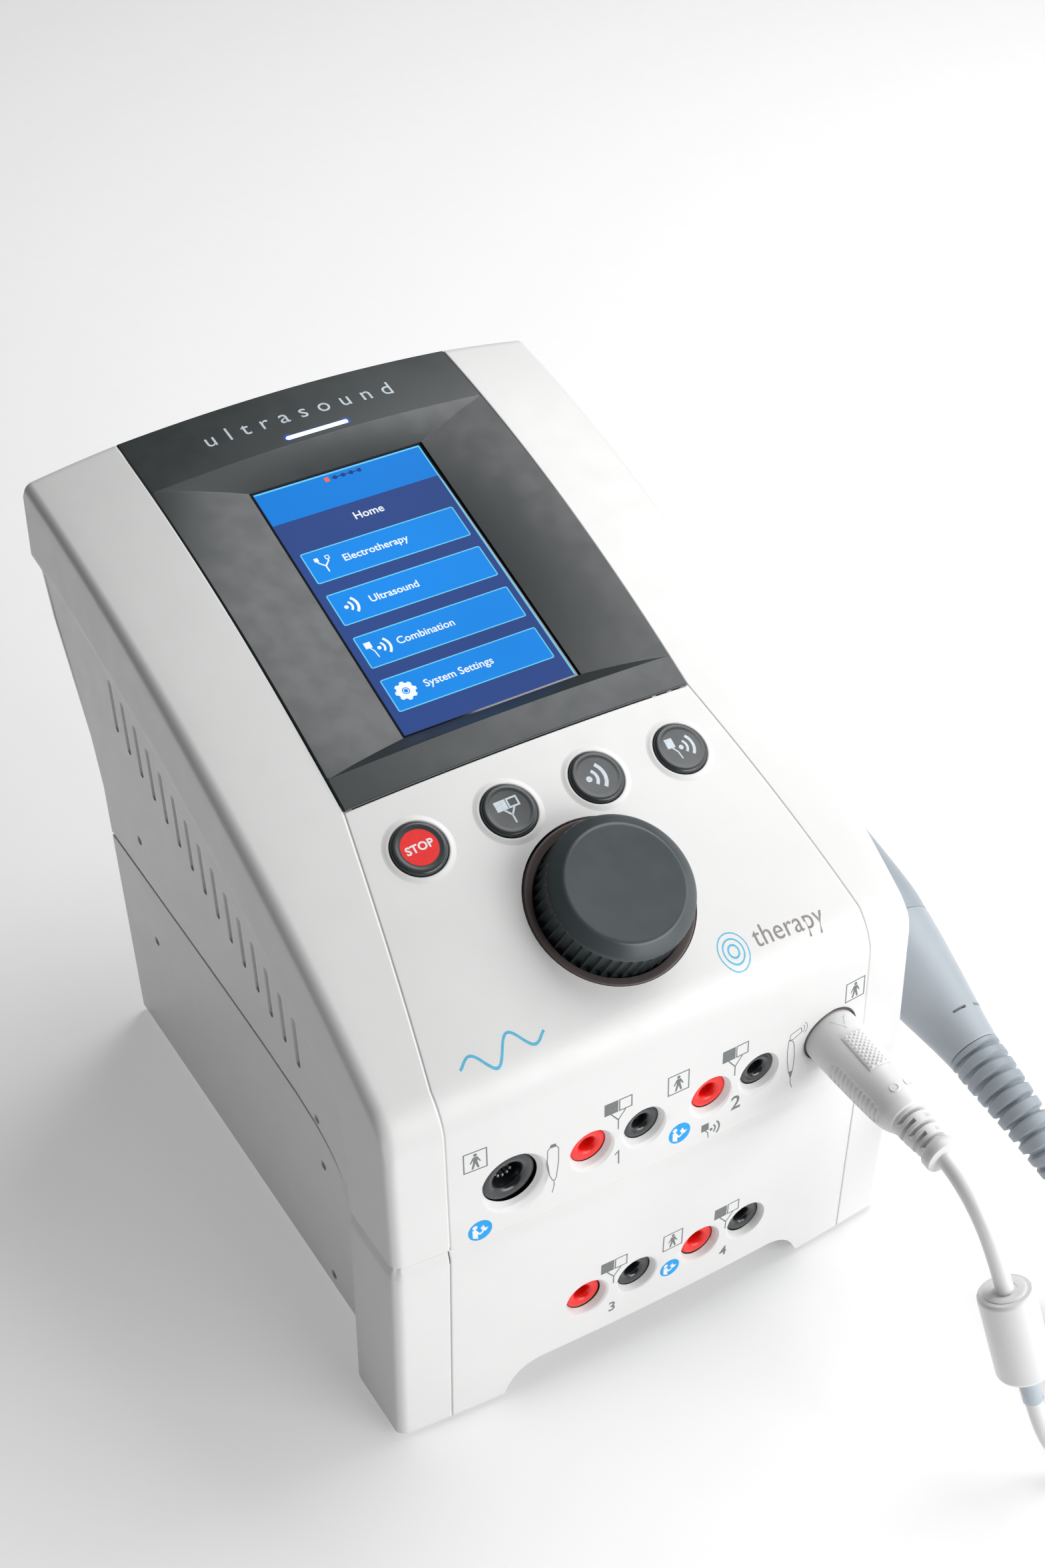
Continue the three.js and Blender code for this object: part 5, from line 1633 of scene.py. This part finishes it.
def build_tie():
    """A strap round both layers of the coil."""
    a = math.radians(118)
    out = Vector((math.cos(a), math.sin(a), 0))
    side = Vector((-math.sin(a), math.cos(a), 0))
    centre = Vector((COIL_X, COIL_Y, 0))
    low = FLOOR + 0.05
    rows = []
    for k in np.linspace(-6, 6, 13):
        row = []
        for r, z in rectangle(22.2, 49.6, low, FLOOR + 13.0, 3.0):
            wobble = 0.15 * math.sin(k * 1.3 + r * 0.3) * (r > 30)
            row.append(centre + out * (r + wobble) + side * k + Vector((0, 0, max(z, low))))
        rows.append(row)
    points, faces = solid_from(*sheet(rows, wrap=True), 0.7)
    lift = max(0.0, FLOOR + 0.02 - min(z for _, _, z in points))
    make_piece("coil_strap", [(x, y, z + lift) for x, y, z in points], faces, STRAP, LEAD, "tie_fabric",
               ("coil_tie",), sharp=50)


# ------------------------------------------------------------------ applicator and its cradle


def applicator_place():
    """+Z along the handle, up its slope; +Y the handle's upper side."""
    s, c = math.sin(APPLICATOR_SLOPE), math.cos(APPLICATOR_SLOPE)
    turn = Matrix(((-1, 0, 0), (0, -s, c), (0, c, s))).transposed().to_4x4()
    return Matrix.Translation(APPLICATOR_AT) @ turn


def build_applicator():
    """The applicator's tapered tail, its grip and the ribbed relief that the cord enters."""
    place = applicator_place()

    def slits(radius, height, angles):
        radii = np.full(len(angles), float(radius))
        for middle in (math.radians(84), math.radians(132)):
            away = arc_away(angles, middle, max(radius, 1))
            radii = np.where((away < 2.6) & (abs(height - 12.0) < 0.5), radii - 1.2, radii)
        return radii

    tail = [(0, 9.6), (8, 10.7), (24, 13.4), (38, 15.6), (50, 17.2), (51.7, 17.2)]
    heights = [0, 0.4, 1] + list(np.linspace(2, 11, 10)) + [11.45, 11.55, 12, 12.45, 12.55, 13, 15, 18]
    heights += list(np.linspace(20, 50, 22)) + [50.8, 51.3, 51.7]
    profile = [(along(h, tail) - 0.35 * (h < 0.3), h) for h in heights]
    turned("applicator_lower", [(0, 0), (9.0, 0)] + profile + [(0, 51.7)], 180, place, GREY_BLUE, LEAD,
           "applicator_grey", ("applicator_tail",), reach=slits, sharp=40)
    handle = [
        (51.9, 17.25), (52.5, 17.4), (54, 17.55), (57, 18.0), (62, 18.38), (70, 18.4), (80, 18.3),
        (92, 18.0), (102, 17.3), (112, 16.4), (120, 15.4), (126, 14.7), (127.6, 14.4), (128, 14.0),
    ]
    heights = [51.9, 52.2, 52.5, 53] + list(np.linspace(54, 126, 40)) + [127, 127.6, 128]
    profile = [(0, 51.9)] + [(along(h, handle), h) for h in heights] + [(0, 128)]
    turned("applicator_grip", profile, 96, place, GREY_UPPER, LEAD, "applicator_grey",
           ("applicator_handle",), sharp=40)
    route = rounded_route([(0, 0, -0.3), (0, 0, -22), (-1.2, -2.6, -38), (-4.2, -9.6, -51)], 0.5)
    route = [tuple(place @ Vector(p)) for p in route]
    whole = path_length(route)

    def ribs(distance, angles):
        base = along(distance, [(0, 9.6), (8, 9.4), (24, 8.3), (42, 7.0), (whole - 3, 6.0), (whole, 5.0)])
        phase = (distance / 5.3) % 1.0
        groove = 1.7 * smooth((0.5 - 0.5 * math.cos(2 * math.pi * phase)) * 3.2 - 2.0)
        return np.full(len(angles), base - (groove if 2 < distance < whole - 3 else 0))

    make_piece("applicator_relief", *tube(route, ribs, 72), GREY_BOOT, LEAD, "applicator_grey",
               ("applicator_boot",), sharp=50)


def build_cradle():
    """A trough that clasps the handle, on an arm from the flank."""
    low, high = 62.0, 87.5
    heights = [low, low + 0.3, low + 0.9] + list(np.linspace(low + 2, high - 2, 12))
    heights += [high - 0.9, high - 0.3, high]
    first, last = math.radians(208), math.radians(332)
    loops = []
    for h in heights:
        trim = 0.9 - min(0.9, h - low, high - h)
        outer, inner = 22.2 - trim, 19.2 + trim
        middle, half = (outer + inner) / 2, (outer - inner) / 2
        polar = []
        for start, end, s in ((first, last, 1), (last, first, -1)):
            polar += [(middle + s * half, a) for a in np.linspace(start, end, 40)]
            for k in range(1, 6):
                t = k / 6 * math.pi
                polar.append((middle + s * half * math.cos(t), end + s * half * math.sin(t) / 20))
        loops.append([(r * math.cos(a), r * math.sin(a), h) for r, a in polar])
    make_piece("cradle", *moved(capped(loops), applicator_place()), WHITE_TRIM, slot="applicator_white",
               replaces=("applicator_holder",), sharp=40)


build_plug()
build_lead_fittings()
build_tie()
build_applicator()
build_cradle()

# ------------------------------------------------------------------ prints on the front


def around(x, z, points, s=1.0):
    """Points given from a sign's middle, scaled and in place."""
    return [(x + a * s, z + b * s) for a, b in points]


def person(x, z, s=1.0):
    """The boxed figure of a patient-applied part."""
    side = [(0.75, 1.7), (1.9, -0.6), (1.55, -0.85), (0.7, 0.5), (0.75, -0.6), (1.35, -3.1), (0.7, -3.2)]
    body = [(-0.75, 1.7)] + side + [(0, -1.0)] + [(-a, b) for a, b in side[:0:-1]]
    half = 4.1 * s
    return [dot(x, z + 2.5 * s, 0.62 * s, 24), fill([around(x, z, body, s)]),
            frame_shape(x - half, x + half, z - half, z + half, 0.42)]


def pads(x, z, foot):
    """The filled and outlined electrode pads with their joined lead."""
    return [
        box_shape(x - 5.1, x - 0.1, z, z + 5.0),
        frame_shape(x + 0.2, x + 5.1, z, z + 5.0, 0.42),
        stroke([(x - 2.7, z), (x, z - 3.6), (x, foot)], 0.42),
        stroke([(x + 2.7, z), (x, z - 3.6)], 0.42),
    ]


def reader(x, z, s=1.0):
    """A reader with an open book, as the pale shapes on a round sign."""
    body = [
        (-2.7, 0.9), (-1.5, 0.95), (-0.2, -1.1), (1.2, -0.3), (1.1, -1.1), (-0.1, -1.9), (-0.9, -1.3),
        (-0.8, -3.3), (-2.6, -2.4),
    ]
    book = [(0.1, 0.9), (1.2, 1.9), (1.7, 0.5), (2.9, 0.3), (1.9, -0.9), (0.8, -0.4)]
    return [dot(x - 1.75 * s, z + 1.9 * s, 0.85 * s, 24), fill([around(x, z, body, s)]),
            fill([around(x, z, book, s)])]


def small_combination(x, z):
    """The sign beside the socket: an electrode pad, its lead and two waves."""
    return [
        box_shape(x - 3.7, x - 0.8, z + 0.5, z + 3.6),
        stroke(around(x, z, [(-2.3, 0.6), (-1.2, -0.6), (-0.8, -3.2)]), 0.35),
        dot(x + 0.2, z, 0.6), wave(x - 0.2, z, 2.0, 0.6, 50), wave(x - 0.2, z, 3.6, 0.65, 46),
    ]


def hand_switch(x, z):
    """An outlined hand switch with its button and cord."""
    body = [
        (-1.9, 7.2), (-0.9, 8.0), (1.3, 7.8), (2.0, 6.6), (1.9, 1), (1.1, -5.4), (0.6, -6.6),
        (-0.3, -6.5), (-1.3, -4.0), (-2.1, 2),
    ]
    cap = [(-1.3, 7.9), (-0.8, 9.2), (0.9, 9.1), (1.3, 7.8)]
    return [stroke(around(x, z, body), 0.3, closed=True), fill([around(x, z, cap)]),
            stroke(around(x, z, [(0.2, -6.6), (0.2, -9), (-0.5, -11.8)]), 0.3)]


def wand(x, z):
    """An outlined applicator with waves from its head."""
    body = [
        (-1.2, 8.2), (-1.6, 4.2), (-1.4, -1.0), (-0.6, -6.2), (1.1, -6.2), (1.5, 0.2), (1.0, 5.4),
        (0.4, 7.2),
    ]
    head = [(-1.0, 8.2), (-0.6, 10.4), (3.6, 11.4), (4.0, 9.4), (0.5, 7.9)]
    neck = [(-0.6, -6.3), (1.1, -6.3), (0.6, -8.8), (0, -8.8)]
    lead = [(0.3, -8.8), (0.4, -11.4), (1.2, -13.8)]
    return [stroke(around(x, z, body), 0.28, closed=True), stroke(around(x, z, head), 0.28, closed=True),
            fill([around(x, z, neck)]), stroke(around(x, z, lead), 0.28),
            wave(x + 3.2, z + 10.6, 1.9, 0.22, 50), wave(x + 3.2, z + 10.6, 3.0, 0.22, 50)]


def build_prints():
    """Everything printed on the white panels."""

    def on_white(name, shapes, surface, material, **more):
        print_on(name, shapes, surface, material, slot="housing_white", **more)

    grey = []
    for x, z in ((-69.5, 119.4), (3.0, 116.4), (74.0, 119.5)):
        grey += person(x, z)
    for x in (-19.4, 25.0):
        grey += pads(x, 115.6, 107.9)
    grey += small_combination(16.2, 88.7) + hand_switch(-42.9, 104.2) + wand(48.0, 103.4)
    on_white("front_icons", grey, front_map, PRINT_GREY)
    one = stroke([(-20.6, 97.1), (-19.2, 98.2), (-19.2, 92.6)], 0.5)
    digits = [one, letters("2", 8.2, 25.9, 95.4, 0.012, "CENTER")]
    on_white("front_numbers", digits, front_map, PRINT_GREY)
    grey = person(4.2, 41.4, 0.97)
    for x in (-19.0, 26.2):
        grey += pads(x, 40.8, 33.6)
    grey += [letters("3", 6.4, -19.1, 21.3, 0.012, "CENTER"), letters("4", 6.4, 26.2, 21.6, 0.012, "CENTER")]
    on_white("lower_icons", grey, lower_map, PRINT_GREY)
    discs = [dot(-68.8, 88.6, 4.15, 56), dot(3.9, 93.8, 4.15, 56)]
    on_white("blue_signs", discs, front_map, PRINT_BLUE, lift=0.035)
    on_white("blue_sign_low", [dot(3.7, 27.4, 3.85, 56)], lower_map, PRINT_BLUE, lift=0.035)
    on_white("sign_figures", reader(-68.8, 88.6) + reader(3.9, 93.8), front_map, PRINT_WHITE, lift=0.06)
    on_white("sign_figure_low", reader(3.7, 27.4, 0.93), lower_map, PRINT_WHITE, lift=0.06)
    curve = []
    for x in np.linspace(-68.3, -39.2, 90):
        turn = (x + 68.5) / 29.5 * math.pi
        curve.append((x, 10.4 + 3.6 * math.sin(turn * 4) * math.sin(turn) ** 0.5))
    on_white("wave_mark", [stroke(curve, 0.8)], slope_map, PRINT_CYAN)
    word = [letters("therapy", 8.5, 38.2, 10.6, -0.004, "LEFT", 1.04)]
    on_white("plain_word", word, slope_map, PRINT_BROWN, lift=0.1, thick=0.16)
    rings = [ring_shape(29.9, 9.4, *radii) for radii in ((2.1, 1.5), (3.8, 3.3), (5.5, 5.1))]
    on_white("ripple_mark", rings, slope_map, PRINT_CYAN)


build_prints()

# ------------------------------------------------------------------ feet


def build_feet():
    places = {
        "front_left": (-74, 26), "front_right": (74, 26), "rear_left": (-70, 206), "rear_right": (70, 206),
    }
    profile = fillet([
        (0, FLOOR + 0.1, 0), (7.6, FLOOR + 0.1, 0), (8.4, FLOOR, 0.3), (9.0, FLOOR + 0.7, 0.5),
        (9.0, 0.3, 0), (0, 0.3, 0),
    ], 4)
    for name, (x, y) in places.items():
        turned("pad_" + name, profile, 48, Matrix.Translation((x, y, 0)), RUBBER, slot="foot_rubber",
               replaces=("foot_" + name,), sharp=50)


build_feet()

# ------------------------------------------------------------------ finishes of the CAD pieces that stay

KEPT = {
    "chassis_plate": STEEL, "base_plate": STEEL, "rear_panel": POWDER_GREY, "lcd_module": DARK,
    "main_board": BOARD, "keypad_board": BOARD, "knob_shaft": STEEL, "encoder_body": STEEL,
    "output_board_upper": BOARD, "output_board_lower": BOARD, "ultrasound_board": BOARD,
    "power_supply": STEEL, "iec_inlet": DARK, "power_switch_frame": DARK, "power_switch_rocker": DARK,
    "fuse_drawer": DARK, "fan_frame": DARK, "fan_rotor": DARK, "applicator_head": GREY_UPPER,
    "applicator_face": ALUMINIUM,
}
for node, finish in KEPT.items():
    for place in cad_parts[node].material_slots:
        place.material = finish

# ------------------------------------------------------------------ floor and light


def build_stage():
    """The pale floor that the device stands on."""
    span = 3000.0
    points = [(x, y, FLOOR) for x in (-span, span) for y in (-span, span)]
    mesh = bpy.data.meshes.new("floor")
    mesh.from_pydata([to_frame(p) for p in points], [], [(0, 2, 3, 1)])
    floor = bpy.data.objects.new("floor", mesh)
    mesh.materials.append(FLOOR_WHITE)
    bpy.context.scene.collection.objects.link(floor)


def area_light(name, at, aim, size, power):
    """A soft light of a size in metres, aimed at a point."""
    data = bpy.data.lights.new(name, "AREA")
    data.shape = "RECTANGLE"
    data.size, data.size_y = size
    data.energy = power
    light = bpy.data.objects.new(name, data)
    bpy.context.scene.collection.objects.link(light)
    light.location = to_frame(at)
    ahead = (Vector(aim) - Vector(at)).normalized()
    light.rotation_euler = ahead.to_track_quat("-Z", "Y").to_euler()


def build_light():
    """A pale room and three soft lights."""
    world = bpy.data.worlds.new("studio")
    world.use_nodes = True
    back = world.node_tree.nodes["Background"]
    back.inputs["Color"].default_value = (0.95, 0.97, 1.0, 1)
    back.inputs["Strength"].default_value = 0.05
    bpy.context.scene.world = world
    area_light("overhead", (900, 420, 1450), (0, 110, 100), (1.2, 1.2), 19)
    area_light("right", (1300, -500, 700), (0, 60, 100), (1.2, 1.0), 8)
    area_light("front", (620, -1450, 620), (0, 60, 80), (1.3, 0.9), 20)


FLOOR_WHITE = plastic("floor_white", (0.80, 0.80, 0.805), 0.8, 300.0, 0.00002, 0.05, 0.004)
glowing = FLOOR_WHITE.node_tree.nodes["Principled BSDF"]
glowing.inputs["Emission Color"].default_value = (1.0, 1.0, 1.0, 1)
glowing.inputs["Emission Strength"].default_value = 0.3
build_stage()
build_light()
bpy.context.scene.view_settings.view_transform = "Standard"
